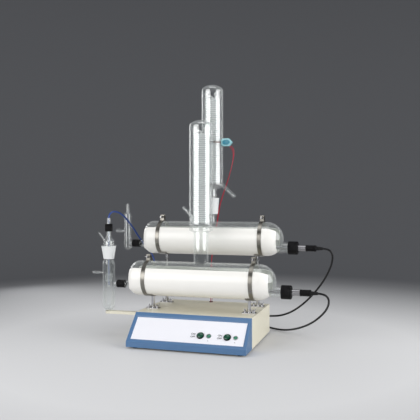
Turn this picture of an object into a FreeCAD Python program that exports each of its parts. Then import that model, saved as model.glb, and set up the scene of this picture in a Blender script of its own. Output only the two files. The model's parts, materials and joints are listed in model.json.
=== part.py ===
"""Double glass still: two stacked boilers on a control cabinet, each with its own coil condenser.

Millimetres. Origin: centre of the cabinet's footprint on the bench. +X right, +Y back, +Z up.
"""

import FreeCAD
import Part
import math
import os

Vector = FreeCAD.Vector
X_AXIS = Vector(1, 0, 0)
Y_AXIS = Vector(0, 1, 0)
Z_AXIS = Vector(0, 0, 1)

# Fits shared by all pieces
RUNNING_GAP = 0.3        # between a piece that turns or slides and what it passes
SEAT_GAP = 0.05          # between a ground or pressed fit's two faces
CUT_MARGIN = 1.0         # how far a cutting tool runs past the face that it cuts

# Cabinet
CABINET_WIDTH = 410.0
CABINET_DEPTH = 377.0
CABINET_TOP = 108.0
FOOT_HEIGHT = 6.0
FOOT_RADIUS = 11.0
FOOT_INSET = 24.0
SHEET = 1.5
JOINT_LINE = 0.4
VENT_COUNT = 7
VENT_WIDTH = 4.0
VENT_LENGTH = 40.0
VENT_PITCH = 11.0
VENT_X = -20.0

# Moulded front bezel with its sloped face
LIP_HEIGHT = 18.4
SLOPE_DEPTH = 86.0
BEZEL_WALL = 3.0
BEZEL_TONGUE = 7.0
WINDOW_WIDTH = 386.0
WINDOW_BOTTOM = 13.0
WINDOW_HEIGHT = 88.0
WINDOW_BEVEL = 5.0
PANEL_LAP = 3.0
PANEL_THICKNESS = 2.0

# Controls, placed up the slope from the lip's top edge
CONTROL_UP = 42.5
BUTTON_X = (45.0, 135.5)
LAMP_X = (73.5, 163.5)
BUTTON_RADIUS = 10.2
BUTTON_RIM_WALL = 1.7
BUTTON_RIM_HEIGHT = 2.6
BUTTON_TRAVEL = 3.0
BUTTON_PROUD = 8.0
BUTTON_DOME = 2.6
STEM_RADIUS = 3.6
STEM_LENGTH = 14.0
SWITCH_BARREL_RADIUS = 7.8
SWITCH_BARREL_LENGTH = 24.0
SWITCH_NUT_RADIUS = 11.0
SWITCH_NUT_HEIGHT = 4.0
LAMP_RADIUS = 6.6
LAMP_RIM_WALL = 1.7
LAMP_RIM_HEIGHT = 1.6
LAMP_LENS_EDGE = 1.0
LAMP_DOME = 2.4
LAMP_BARREL_RADIUS = 5.4
LAMP_BARREL_LENGTH = 18.0

# Control board on its pillars inside the cabinet
BOARD_WIDTH = 150.0
BOARD_DEPTH = 90.0
BOARD_THICKNESS = 1.6
BOARD_Y = 40.0
PILLAR_RADIUS = 3.5
PILLAR_HEIGHT = 14.0
RELAY_SIZE = (19.0, 16.0, 15.0)
RELAY_PITCH = 32.0
TRANSFORMER_SIZE = (44.0, 38.0, 34.0)

# Rear panel fittings
INLET_X = 70.0
INLET_Z = 46.0
INLET_FLANGE = (50.0, 27.0)
INLET_BODY = (28.0, 21.0)
INLET_SOCKET = (24.0, 16.0)
INLET_FLANGE_THICKNESS = 2.5
INLET_BODY_DEPTH = 24.0
INLET_SOCKET_DEPTH = 17.0
INLET_PIN = (2.0, 4.0)
INLET_PIN_LENGTH = 8.0
INLET_PIN_PITCH = 7.0
GLAND_X = 150.0
GLAND_Z = (24.0, 52.0)
GLAND_FLANGE_RADIUS = 10.5
GLAND_FLANGE_LENGTH = 4.0
GLAND_DOME_RADIUS = 8.0
GLAND_DOME_LENGTH = 7.5
GLAND_THREAD_RADIUS = 6.0
GLAND_THREAD_LENGTH = 12.0

# Rubber grommets in the cabinet's top
GROMMETS = ((-190.0, 20.0), (-16.0, 168.0))
GROMMET_RADIUS = 7.5
GROMMET_NECK_RADIUS = 5.0
GROMMET_LIP = 2.0

# Boilers, lying along X
BOILER_LEFT = -253.0
BOILER_RIGHT = 269.0
BOILER_RADIUS = 60.8
BOILER_WALL = 3.0
BOILER_CORNER = 24.0
LOWER_AXIS = (-18.4, 216.5)
UPPER_AXIS = (119.4, 354.5)
RIGHT_NECK_DROP = 31.0
LEFT_NECK_DROP = 25.5
RIGHT_NECK_RADIUS = 17.5
RIGHT_NECK_BORE = 14.5
RIGHT_BULGE_RADIUS = 19.0
RIGHT_THREAD_RADIUS = 20.5
RIGHT_THREAD_START = 284.0
RIGHT_NECK_END = 314.0
RIGHT_NECK_ROOT = 225.0
LEFT_ROOT_X = -236.0
LEFT_ROOT_RADIUS = 33.5
LEFT_CONE_END = -279.0
LEFT_THREAD_RADIUS = 11.4
LEFT_NECK_END = -310.0

# White half jackets on the boilers
JACKET_WALL = 1.2
JACKET_OPENING_ANGLE = 103.0
JACKET_RIGHT = 249.0
JACKET_LEFT = -248.6        # where the white stops short of the glass body's flat end
JACKET_CONE_LEFT = -261.0   # and of the conical root's tip
JACKET_NECK_GAP = 1.0

# Riser and joints on the boilers
CONDENSER_X = 3.5
RISER_RADIUS = 26.0
RISER_WALL = 2.2
RISER_FLANGE_RADIUS = 41.5
RISER_FLANGE = 4.0
RISER_FLANGE_TOP = 393.0
DRIP_TUBE_RADIUS = 11.0
DRIP_TUBE_WALL = 2.0
DRIP_TUBE_FLARE = 10.0
SOCKET_BOTTOM = 443.0
SOCKET_TOP = 502.0
SOCKET_RADIUS_BOTTOM = 20.5
SOCKET_RADIUS_TOP = 25.0
SOCKET_WALL = 2.4
CONE_WALL = 2.4

# Condensers
FRONT_CONDENSER_RADIUS = 41.0
FRONT_CONDENSER_TOP = 772.0
REAR_CONDENSER_RADIUS = 40.0
REAR_CONDENSER_TOP = 918.0
REAR_CONDENSER_BOTTOM = 535.0
CONDENSER_WALL = 2.2
CONDENSER_SHOULDER = 18.0
REAR_NECK_RADIUS = 15.0
ARM_RADIUS = 5.8
ARM_BORE = 3.4
ARM_REACH = 27.0
ARM_ROOT_RADIUS = 8.2
ARM_ROOT_LENGTH = 12.0
FRONT_ARM_RISE = 49.0
REAR_ARM_RISE = 43.0
DRAIN_RADIUS = 7.0
DRAIN_BORE = 5.2
DRAIN_RISE = 17.0
DRAIN_REACH = (50.0, -46.0)

# Coils inside the condensers
COIL_TUBE_RADIUS = 3.0
COIL_RADIUS = 26.0
COIL_PITCH = 7.0
COIL_STEPS = 10
COIL_SIDES = 4
COIL_FOOT = 24.0
COIL_RETURN_DROP = 2.0
COIL_HEAD_ROOM = 28.0
COIL_RETURN_RISE = 9.0
COIL_LEG_RADIUS = 33.5

# Stand
POST_X = 176.0
POST_RADIUS = 6.0
POST_PLATE = (48.0, 24.0, 3.0)
FOOT_STUD_X = 15.0
FOOT_STUD_RADIUS = 2.5
FOOT_STUD_DROP = 6.0
FOOT_STUD_RISE = 13.0
BAND_X = 192.0
BAND_WIDTH = 14.0
BAND_THICKNESS = 1.5
BAND_GAP = 0.3
CRADLE_THICKNESS = 2.5
CRADLE_HALF_ANGLE = 32.0
EAR_GAP = 12.0
EAR_RISE = 20.0
SCREW_RISE = 12.5
SCREW_RADIUS = 2.5
SCREW_HEAD_RADIUS = 4.5
SCREW_HEAD = 3.5
SCREW_TAIL = 17.0
WING_HUB_RADIUS = 5.0
WING_HUB_HEIGHT = 7.0
WING_SPAN = 22.0
WING_THICKNESS = 1.8
WING_RISE = 6.5

# Heaters, their caps and connectors
HEATER_RADIUS = 6.5
HEATER_TIP = -205.0
HEATER_HEAD = 3.0
CAP_RADIUS = 23.5
CAP_LEFT = 286.7
CAP_END_WALL = 2.2
CAP_APERTURE_GAP = 0.5
CAP_FLUTES = 12
CAP_FLUTE_RADIUS = 1.6
SEAL_THICKNESS = 2.0
SEAL_INNER_RADIUS = 9.0
FERRULE_RADIUS = 10.4
FERRULE_END = 348.5
PLUG_RADIUS = 11.2
PLUG_END = 386.0
PLUG_GROOVES = 5
RELIEF_RADIUS = 7.2
RELIEF_TIP_RADIUS = 5.0
RELIEF_END = 408.0

# Left caps, with the level pipes through them
PIPE_CAP_RADIUS = 14.2
PIPE_CAP_LEFT = -316.5
PIPE_CAP_LENGTH = 32.0
PIPE_CAP_END_WALL = 2.2
PIPE_RADIUS = 8.0
PIPE_BORE = 6.0
PIPE_END = -290.0

# Level vessel on its bracket
VESSEL = (-350.0, -18.4)
VESSEL_RADIUS = 22.5
VESSEL_WALL = 1.8
VESSEL_BOTTOM = 91.0
VESSEL_FLARE_RADIUS = 15.0
VESSEL_STEM_RADIUS = 6.0
VESSEL_STEM_LENGTH = 8.0
VESSEL_SHOULDER = 262.0
VESSEL_JOINT_BOTTOM = 280.0
VESSEL_JOINT_TOP = 326.0
VESSEL_JOINT_RADII = (19.0, 26.5)
VESSEL_HEAD_RADIUS = 19.0
VESSEL_HEAD_SHOULDER = 346.0
VESSEL_NECK_Z = 362.0
VESSEL_NECK_RADIUS = 7.5
VESSEL_THREAD_RADIUS = 11.2
VESSEL_THREAD_START = 376.0
VESSEL_NECK_END = 402.5
VESSEL_ARM_RADIUS = 4.2
VESSEL_ARM_BORE = 2.6
VESSEL_ARM_REACH = 24.0
REED_CAP_BOTTOM = 380.0
REED_CAP_RADIUS = 14.0
REED_CAP_END_WALL = 2.2
REED_RADIUS = 5.0
REED_BOTTOM = 178.0
REED_TOP = 428.0
REED_COLLAR_RADIUS = 9.0
REED_COLLAR = 3.0
FLOAT_RADIUS = 12.5
FLOAT_HEIGHT = 24.0
FLOAT_BOTTOM = 200.0
FLOAT_TRAVEL = 28.0
BARB_Z = 228.5
BARB_STEM_RADIUS = 3.3
BARB_BORE = 2.2
BARB_RIB_RADIUS = 5.8
BARB_RIB_LENGTH = 6.0
BARB_RIBS = 5
BARB_STEM_LENGTH = 13.0
BRACKET_DEPTH = 20.0
BRACKET_HEIGHT = 10.0
BRACKET_END = 12.0
BRACKET_FLANGE = (2.0, 34.0, 26.0)

# Small overflow vessel at the upper boiler
SMALL_VESSEL = (-337.0, 119.4)
SMALL_VESSEL_RADIUS = 13.0
SMALL_VESSEL_WALL = 1.6
SMALL_VESSEL_BOTTOM = 303.0
SMALL_VESSEL_SHOULDER = 440.0
SMALL_VESSEL_TOP = 479.0
SMALL_VESSEL_TUBE = 5.8
SMALL_BARB_Z = 375.0
SMALL_BARB_SCALE = 1.25

# Thermal cut-out strapped to the rear condenser
CUTOUT_Z = 705.0
CUTOUT_WIDTH = 40.0
CUTOUT_HEIGHT = 28.0
CUTOUT_DEPTH = 18.0
CUTOUT_NOSE = 10.0
CUTOUT_DROP_Y = -6.0
STRAP_THICKNESS = 0.8
STRAP_WIDTH = 4.0

# Cords: diameter, then the corners of the route, which a tangent arc rounds
HEATER_CABLE_DIAMETER = 7.0
UPPER_CABLE = (
    (408.0, 119.4, 323.6), (428.0, 119.6, 322.2), (441.5, 121.0, 306.5), (441.5, 125.0, 282.0),
    (432.0, 133.0, 251.0), (409.0, 146.0, 207.0), (376.0, 161.0, 162.0), (334.0, 180.0, 117.0),
    (288.0, 202.0, 81.0), (243.0, 226.0, 60.0), (206.0, 243.0, 53.0), (173.0, 246.0, 51.5),
    (152.0, 230.0, 52.0), (150.0, 200.0, 52.0),
)
LOWER_CABLE = (
    (408.0, -18.4, 185.5), (427.0, -17.6, 184.0), (440.0, -9.5, 172.5), (441.5, 9.0, 153.0),
    (433.0, 37.0, 128.0), (409.0, 74.0, 95.0), (368.0, 120.0, 57.0), (315.0, 172.0, 26.0),
    (262.0, 214.0, 8.0), (214.0, 240.0, 5.0), (174.0, 246.0, 13.0), (152.0, 230.0, 23.5),
    (150.0, 200.0, 24.0),
)
SENSOR_CABLE_DIAMETER = 6.0
SENSOR_CABLE = (
    (-350.0, -18.4, 428.0), (-349.5, -17.5, 447.0), (-340.0, -2.0, 462.0), (-329.0, 26.0, 457.0),
    (-322.0, 55.0, 441.0), (-316.0, 86.0, 414.0), (-311.0, 117.0, 385.0), (-303.0, 148.0, 350.0),
    (-288.0, 179.0, 315.0), (-267.0, 201.0, 280.0), (-252.0, 192.0, 237.0), (-247.0, 156.0, 199.0),
    (-241.0, 108.0, 170.0), (-226.0, 62.0, 156.0), (-204.0, 33.0, 152.0), (-190.3, 20.3, 136.0),
    (-190.0, 20.0, 110.0),
)
WIRE_DIAMETER = 2.2
WIRE_1 = (
    (76.0, 108.0, 691.0), (80.0, 106.5, 678.0), (87.5, 107.0, 658.0), (84.0, 112.0, 628.0),
    (74.0, 122.0, 595.0), (60.0, 133.0, 562.0), (44.0, 144.0, 528.0), (27.0, 158.0, 492.0),
    (14.0, 174.0, 456.0), (5.0, 188.0, 418.0), (-5.0, 196.0, 374.0), (-12.0, 196.5, 326.0),
    (-19.0, 193.0, 277.0), (-23.0, 186.0, 230.0), (-20.0, 177.0, 186.0), (-17.0, 170.0, 146.0),
    (-18.0, 168.0, 110.0),
)
WIRE_2 = (
    (70.0, 113.0, 690.0), (73.0, 112.5, 676.0), (82.0, 114.0, 652.0), (81.0, 120.0, 622.0),
    (70.0, 128.0, 590.0), (54.0, 138.0, 557.0), (39.0, 150.0, 520.0), (21.0, 164.0, 486.0),
    (9.0, 180.0, 448.0), (0.0, 193.0, 410.0), (-10.0, 201.0, 366.0), (-16.0, 202.0, 320.0),
    (-25.0, 198.0, 272.0), (-17.0, 190.0, 226.0), (-14.0, 181.0, 182.0), (-12.0, 172.0, 143.0),
    (-12.5, 168.0, 110.0),
)

# Values that follow from the sizes above
FRONT_Y = -CABINET_DEPTH / 2
BACK_Y = CABINET_DEPTH / 2
SIDE_X = CABINET_WIDTH / 2
JOINT_Y = FRONT_Y + SLOPE_DEPTH
LIP_TOP = FOOT_HEIGHT + LIP_HEIGHT
SLOPE_ANGLE = math.atan2(CABINET_TOP - LIP_TOP, SLOPE_DEPTH)
SLOPE_LENGTH = math.hypot(SLOPE_DEPTH, CABINET_TOP - LIP_TOP)
PANEL_FACE = -BEZEL_WALL
SADDLE_RADIUS = BOILER_RADIUS + JACKET_WALL + BAND_GAP
BAND_RADIUS = SADDLE_RADIUS + BAND_THICKNESS


def point(axis_yz, x):
    """A point at x on an axis that runs along X."""
    return Vector(x, axis_yz[0], axis_yz[1])


def block(low, high):
    """An upright box between two corners."""
    low_corner = Vector(*low)
    size = Vector(*high) - low_corner
    return Part.makeBox(size.x, size.y, size.z, low_corner)


def plate(centre, size):
    """An upright box of a given size about its centre."""
    corner = Vector(*centre) - Vector(*size) * 0.5
    return Part.makeBox(size[0], size[1], size[2], corner)


def rod(start, end, radius):
    """A round bar between two points."""
    direction = end - start
    return Part.makeCylinder(radius, direction.Length, start, direction)


def tube(start, end, radius, bore):
    """A round pipe between two points."""
    return rod(start, end, radius).cut(rod(start, end, bore))


def turned(base, axis, start, *steps):
    """A solid of revolution. Each step is the next (radius, height), or an arc's middle and end in one."""
    edges = []
    here = Vector(start[0], 0, start[1])
    for step in steps:
        end = Vector(step[-2], 0, step[-1])
        if len(step) == 4:
            edges.append(Part.Arc(here, Vector(step[0], 0, step[1]), end).toShape())
        else:
            edges.append(Part.LineSegment(here, end).toShape())
        here = end
    edges.append(Part.LineSegment(here, Vector(start[0], 0, start[1])).toShape())
    solid = Part.Face(Part.Wire(edges)).revolve(Vector(0, 0, 0), Z_AXIS, 360)
    solid.Placement = FreeCAD.Placement(base, FreeCAD.Rotation(Z_AXIS, axis))
    return solid


def quarter(centre_radius, centre_height, radius, start_angle, end_angle):
    """The arc step about a centre, in degrees from the radius direction."""
    step = []
    for angle in ((start_angle + end_angle) / 2, end_angle):
        turn = math.radians(angle)
        step.append(centre_radius + radius * math.cos(turn))
        step.append(centre_height + radius * math.sin(turn))
    return tuple(step)


def crown(radius, height, rise):
    """The arc step of a shallow dome that closes on the axis, as part of one sphere."""
    sphere = (radius ** 2 + rise ** 2) / (2 * rise)
    half = math.asin(radius / sphere) / 2
    return (sphere * math.sin(half), height + rise - sphere * (1 - math.cos(half)), 0, height + rise)


def joined(first, *others):
    """Fuse solids into one clean solid."""
    shape = first
    for other in others:
        shape = shape.fuse(other)
    return shape.removeSplitter()


def on_slope(shape):
    """Carry a shape from slope axes (X, up the slope, out of the face) to its place on the bezel."""
    turn = FreeCAD.Rotation(X_AXIS, math.degrees(SLOPE_ANGLE))
    return shape.transformGeometry(FreeCAD.Placement(Vector(0, FRONT_Y, LIP_TOP), turn).toMatrix())


def placed_on_slope(shape):
    """Like on_slope, but the round faces stay true cylinders."""
    turn = FreeCAD.Rotation(X_AXIS, math.degrees(SLOPE_ANGLE))
    placed = shape.copy()
    placed.Placement = FreeCAD.Placement(Vector(0, FRONT_Y, LIP_TOP), turn).multiply(shape.Placement)
    return placed


def hose_barb(root, direction, stem, ribs, rib_length, stem_radius, rib_radius, bore):
    """A hose nozzle: a plain stem, then saw-tooth ribs, with a bore through it all."""
    steps = [(stem_radius, 0), (stem_radius, stem)]
    for rib in range(ribs):
        height = stem + rib * rib_length
        steps.append((rib_radius, height))
        steps.append((stem_radius, height + rib_length))
    top = stem + ribs * rib_length
    nozzle = turned(root, direction, (bore, 0), *steps, (bore, top))
    return nozzle


def cord_tube(name, corners, diameter):
    """Straight runs joined by tangent arcs, each as large as its two runs allow."""
    points = [Vector(*corner) for corner in corners]
    path = []
    radii = []
    here = points[0]
    for before, corner, after in zip(points, points[1:], points[2:]):
        into = (corner - before).normalize()
        out = (after - corner).normalize()
        turn = into.getAngle(out)
        shorter = min(corner.distanceToPoint(before), corner.distanceToPoint(after))
        back = 0.45 * shorter
        radius = back / math.tan(turn / 2)
        radii.append(radius)
        start = corner - into * back
        end = corner + out * back
        inward = (out - into).normalize()
        middle = corner + inward * (radius / math.cos(turn / 2) - radius)
        path.append(Part.LineSegment(here, start).toShape())
        path.append(Part.Arc(start, middle, end).toShape())
        here = end
    path.append(Part.LineSegment(here, points[-1]).toShape())
    wire = Part.Wire(path)
    section = Part.Wire([Part.makeCircle(diameter / 2, points[0], points[1] - points[0])])
    solid = wire.makePipeShell([section], True, False)
    expected = wire.Length * math.pi * diameter ** 2 / 4
    print(
        f"{name}: length {wire.Length:.0f}, least radius {min(radii):.1f} = {min(radii) / diameter:.1f} diameters,"
        f" volume {solid.Volume / expected:.4f} of section times length"
    )
    return solid


def mitred_tube(points, radius, sides):
    """A bar of regular polygon section along straight runs, with a mitre at each corner."""
    first_run = (points[1] - points[0]).normalize()
    across = first_run.cross(Z_AXIS if abs(first_run.z) < 0.9 else X_AXIS).normalize()
    upright = first_run.cross(across)
    ring = []
    for side in range(sides):
        angle = 2 * math.pi * side / sides
        ring.append(points[0] + (across * math.cos(angle) + upright * math.sin(angle)) * radius)
    faces = [Part.Face(Part.makePolygon(ring + ring[:1]))]
    for index in range(1, len(points)):
        run = (points[index] - points[index - 1]).normalize()
        normal = run
        if index + 1 < len(points):
            normal = (run + (points[index + 1] - points[index]).normalize()).normalize()
        ahead = []
        for corner in ring:
            reach = (points[index] - corner).dot(normal) / run.dot(normal)
            ahead.append(corner + run * reach)
        for side in range(sides):
            after = (side + 1) % sides
            quad = [ring[side], ring[after], ahead[after], ahead[side], ring[side]]
            faces.append(Part.Face(Part.makePolygon(quad)))
        ring = ahead
    faces.append(Part.Face(Part.makePolygon(ring + ring[:1])))
    shell = Part.makeShell(faces)
    shell.sewShape()
    solid = Part.makeSolid(shell)
    if solid.Volume < 0:
        solid.reverse()
    return solid


def stud_places():
    """The foot studs' places on the cabinet's top, two to each post."""
    return [
        (post_x + side * FOOT_STUD_X, axis[0])
        for axis in (LOWER_AXIS, UPPER_AXIS)
        for post_x in (-POST_X, POST_X)
        for side in (-1, 1)
    ]


def cabinet_shell():
    """Folded sheet housing: top, sides and back, open in front and below."""
    front = JOINT_Y + JOINT_LINE
    outer = block((-SIDE_X, front, FOOT_HEIGHT), (SIDE_X, BACK_Y, CABINET_TOP))
    inner = block(
        (-SIDE_X + SHEET, front - CUT_MARGIN, FOOT_HEIGHT - CUT_MARGIN),
        (SIDE_X - SHEET, BACK_Y - SHEET, CABINET_TOP - SHEET),
    )
    cutters = []
    top_depth = SHEET + 2 * CUT_MARGIN
    for x, y in stud_places():
        low = Vector(x, y, CABINET_TOP - SHEET - CUT_MARGIN)
        cutters.append(Part.makeCylinder(FOOT_STUD_RADIUS + SEAT_GAP, top_depth, low))
    for x, y in GROMMETS:
        low = Vector(x, y, CABINET_TOP - SHEET - CUT_MARGIN)
        cutters.append(Part.makeCylinder(GROMMET_NECK_RADIUS + SEAT_GAP, top_depth, low))
    back_inside = BACK_Y - SHEET - CUT_MARGIN
    for z in GLAND_Z:
        low = Vector(GLAND_X, back_inside, z)
        cutters.append(Part.makeCylinder(GLAND_THREAD_RADIUS + SEAT_GAP, top_depth, low, Y_AXIS))
    inlet_hole = (INLET_BODY[0] + 2 * RUNNING_GAP, top_depth, INLET_BODY[1] + 2 * RUNNING_GAP)
    cutters.append(plate((INLET_X, BACK_Y - SHEET / 2, INLET_Z), inlet_hole))
    for slot in range(VENT_COUNT):
        x = VENT_X - slot * VENT_PITCH
        z = (FOOT_HEIGHT + CABINET_TOP) / 2
        cutters.append(plate((x, BACK_Y - SHEET / 2, z), (VENT_WIDTH, top_depth, VENT_LENGTH)))
    return outer.cut(inner).cut(cutters)


def base_plate():
    """Flat bottom plate inside the housing's walls."""
    inset = SHEET + RUNNING_GAP
    front = FRONT_Y + BEZEL_WALL + RUNNING_GAP
    low = (-SIDE_X + BEZEL_WALL + RUNNING_GAP, front, FOOT_HEIGHT)
    high = (SIDE_X - BEZEL_WALL - RUNNING_GAP, BACK_Y - inset, FOOT_HEIGHT + SHEET)
    return block(low, high)


def slope_prism(depth, side_x, back_y, bottom):
    """The space behind the sloped face, its walls moved inward by depth."""
    foot_y = FRONT_Y + depth
    cosine = math.cos(SLOPE_ANGLE)
    rise = math.tan(SLOPE_ANGLE)
    foot_z = LIP_TOP + depth * rise - depth / cosine
    head_z = foot_z + (back_y - foot_y) * rise
    outline = [
        Vector(-side_x, foot_y, bottom), Vector(-side_x, foot_y, foot_z),
        Vector(-side_x, back_y, head_z), Vector(-side_x, back_y, bottom),
    ]
    return Part.Face(Part.makePolygon(outline + outline[:1])).extrude(Vector(2 * side_x, 0, 0))


def slope_window(lap, depth):
    """A rectangle round the panel's opening, as a wire on a plane parallel to the slope."""
    half = WINDOW_WIDTH / 2 + lap
    low = WINDOW_BOTTOM - lap
    high = WINDOW_BOTTOM + WINDOW_HEIGHT + lap
    corners = [Vector(-half, low, depth), Vector(half, low, depth), Vector(half, high, depth), Vector(-half, high, depth)]
    return Part.makePolygon(corners + corners[:1])


def front_bezel():
    """Moulded frame: lip, triangular cheeks, a bevelled window in the slope and a tongue into the housing."""
    body = slope_prism(0, SIDE_X, JOINT_Y, FOOT_HEIGHT)
    hollow = slope_prism(BEZEL_WALL, SIDE_X - BEZEL_WALL, JOINT_Y + CUT_MARGIN, FOOT_HEIGHT - CUT_MARGIN)
    bevel_rise = WINDOW_BEVEL / BEZEL_WALL
    bevel = Part.makeLoft(
        [slope_window(-CUT_MARGIN * bevel_rise, -BEZEL_WALL - CUT_MARGIN),
         slope_window(WINDOW_BEVEL + CUT_MARGIN * bevel_rise, CUT_MARGIN)],
        True, True,
    )
    opening = Part.Face(slope_window(0, -BEZEL_WALL - CUT_MARGIN)).extrude(Vector(0, 0, 2 * CUT_MARGIN + BEZEL_WALL))
    side = SIDE_X - SHEET - RUNNING_GAP
    top = CABINET_TOP - SHEET - RUNNING_GAP
    tongue = block((-side, JOINT_Y - BEZEL_TONGUE, FOOT_HEIGHT + SHEET + 1), (side, JOINT_Y + BEZEL_TONGUE, top))
    core = block(
        (-side + BEZEL_WALL, JOINT_Y - BEZEL_TONGUE - CUT_MARGIN, FOOT_HEIGHT - CUT_MARGIN),
        (side - BEZEL_WALL, JOINT_Y + BEZEL_TONGUE + CUT_MARGIN, top - BEZEL_WALL),
    )
    behind = block((-SIDE_X, JOINT_Y, FOOT_HEIGHT), (SIDE_X, BACK_Y, CABINET_TOP))
    tongue = tongue.cut(core).common(joined(body, behind))
    frame = joined(body.cut(hollow), tongue)
    return frame.cut(on_slope(bevel)).cut(on_slope(opening))


def front_panel():
    """Flat plate behind the bezel's window, with the holes of the controls."""
    low = WINDOW_BOTTOM - PANEL_LAP
    size = (WINDOW_WIDTH + 2 * PANEL_LAP, WINDOW_HEIGHT + 2 * PANEL_LAP, PANEL_THICKNESS)
    corner = Vector(-size[0] / 2, low, PANEL_FACE - PANEL_THICKNESS)
    sheet = Part.makeBox(size[0], size[1], size[2], corner)
    holes = [(x, SWITCH_BARREL_RADIUS) for x in BUTTON_X] + [(x, LAMP_BARREL_RADIUS) for x in LAMP_X]
    for x, radius in holes:
        low_point = Vector(x, CONTROL_UP, PANEL_FACE - PANEL_THICKNESS - CUT_MARGIN)
        sheet = sheet.cut(Part.makeCylinder(radius + SEAT_GAP, PANEL_THICKNESS + 2 * CUT_MARGIN, low_point))
    return placed_on_slope(sheet)


def switch_body(x):
    """Barrel through the panel, rim round the button and fixing nut behind."""
    base = Vector(x, CONTROL_UP, PANEL_FACE)
    rim_inner = BUTTON_RADIUS + RUNNING_GAP
    rim = rim_inner + BUTTON_RIM_WALL
    back = -PANEL_THICKNESS
    bore = STEM_RADIUS + RUNNING_GAP
    floor = RUNNING_GAP
    body = turned(
        base, Z_AXIS, (bore, floor), (rim_inner, floor), (rim_inner, BUTTON_RIM_HEIGHT),
        (rim, BUTTON_RIM_HEIGHT), (rim, 0), (SWITCH_BARREL_RADIUS, 0), (SWITCH_BARREL_RADIUS, back),
        (SWITCH_NUT_RADIUS, back), (SWITCH_NUT_RADIUS, back - SWITCH_NUT_HEIGHT),
        (SWITCH_BARREL_RADIUS, back - SWITCH_NUT_HEIGHT), (SWITCH_BARREL_RADIUS, -SWITCH_BARREL_LENGTH),
        (0, -SWITCH_BARREL_LENGTH), (0, -SWITCH_BARREL_LENGTH + BEZEL_WALL),
        (bore, -SWITCH_BARREL_LENGTH + BEZEL_WALL),
    )
    return placed_on_slope(body)


def push_button(x):
    """Domed button with its stem, a full travel above the switch's floor."""
    base = Vector(x, CONTROL_UP, PANEL_FACE)
    skirt = BUTTON_TRAVEL + 2 * RUNNING_GAP
    shoulder = BUTTON_PROUD - BUTTON_DOME
    stem_end = skirt - STEM_LENGTH
    button = turned(
        base, Z_AXIS, (0, stem_end), (STEM_RADIUS, stem_end), (STEM_RADIUS, skirt),
        (BUTTON_RADIUS, skirt), (BUTTON_RADIUS, shoulder), crown(BUTTON_RADIUS, shoulder, BUTTON_DOME),
    )
    return placed_on_slope(button)


def lamp_rim(x):
    """Chromed rim and barrel of an indicator lamp."""
    base = Vector(x, CONTROL_UP, PANEL_FACE)
    rim = LAMP_RADIUS + LAMP_RIM_WALL
    barrel = turned(
        base, Z_AXIS, (LAMP_RADIUS, 0), (LAMP_RADIUS, LAMP_RIM_HEIGHT), (rim, LAMP_RIM_HEIGHT), (rim, 0),
        (LAMP_BARREL_RADIUS, 0), (LAMP_BARREL_RADIUS, -LAMP_BARREL_LENGTH), (0, -LAMP_BARREL_LENGTH),
        (0, 0),
    )
    return placed_on_slope(barrel)


def lamp_lens(x):
    """Domed lens in the lamp's rim."""
    base = Vector(x, CONTROL_UP, PANEL_FACE)
    radius = LAMP_RADIUS - SEAT_GAP
    lens = turned(base, Z_AXIS, (0, 0), (radius, 0), (radius, LAMP_LENS_EDGE), crown(radius, LAMP_LENS_EDGE, LAMP_DOME))
    return placed_on_slope(lens)


def control_board():
    """Circuit board with two relays and a transformer, on four pillars."""
    floor = FOOT_HEIGHT + SHEET
    level = floor + PILLAR_HEIGHT
    board = block(
        (-BOARD_WIDTH / 2, BOARD_Y - BOARD_DEPTH / 2, level),
        (BOARD_WIDTH / 2, BOARD_Y + BOARD_DEPTH / 2, level + BOARD_THICKNESS),
    )
    pieces = []
    for side_x in (-1, 1):
        for side_y in (-1, 1):
            x = side_x * (BOARD_WIDTH / 2 - 2 * PILLAR_RADIUS)
            y = BOARD_Y + side_y * (BOARD_DEPTH / 2 - 2 * PILLAR_RADIUS)
            pieces.append(Part.makeCylinder(PILLAR_RADIUS, PILLAR_HEIGHT, Vector(x, y, floor)))
    top = level + BOARD_THICKNESS
    for index in range(2):
        centre = (-RELAY_PITCH * (index + 0.5), BOARD_Y, top + RELAY_SIZE[2] / 2)
        pieces.append(plate(centre, RELAY_SIZE))
    pieces.append(plate((RELAY_PITCH, BOARD_Y, top + TRANSFORMER_SIZE[2] / 2), TRANSFORMER_SIZE))
    return joined(board, *pieces)


def rubber_feet():
    """Four tapered feet under the base plate's corners."""
    feet = []
    for x in (-SIDE_X + FOOT_INSET, SIDE_X - FOOT_INSET):
        for y in (FRONT_Y + FOOT_INSET, BACK_Y - FOOT_INSET):
            feet.append(Part.makeCone(FOOT_RADIUS - 1.5, FOOT_RADIUS, FOOT_HEIGHT, Vector(x, y, 0)))
    return Part.makeCompound(feet)


def mains_inlet():
    """Three-pin appliance inlet in the rear panel, with its flange outside."""
    flange_y = BACK_Y + INLET_FLANGE_THICKNESS / 2
    flange = plate((INLET_X, flange_y, INLET_Z), (INLET_FLANGE[0], INLET_FLANGE_THICKNESS, INLET_FLANGE[1]))
    body_y = BACK_Y - INLET_BODY_DEPTH / 2
    body = plate((INLET_X, body_y, INLET_Z), (INLET_BODY[0], INLET_BODY_DEPTH, INLET_BODY[1]))
    mouth = BACK_Y + INLET_FLANGE_THICKNESS
    socket_y = mouth - INLET_SOCKET_DEPTH / 2 + CUT_MARGIN / 2
    socket = plate(
        (INLET_X, socket_y, INLET_Z), (INLET_SOCKET[0], INLET_SOCKET_DEPTH + CUT_MARGIN, INLET_SOCKET[1])
    )
    inlet = joined(flange, body).cut(socket)
    pin_y = mouth - INLET_SOCKET_DEPTH + INLET_PIN_LENGTH / 2
    for side, drop in ((-1, -2.0), (0, 2.0), (1, -2.0)):
        centre = (INLET_X + side * INLET_PIN_PITCH, pin_y, INLET_Z + drop)
        inlet = joined(inlet, plate(centre, (INLET_PIN[0], INLET_PIN_LENGTH, INLET_PIN[1])))
    return inlet


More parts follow.
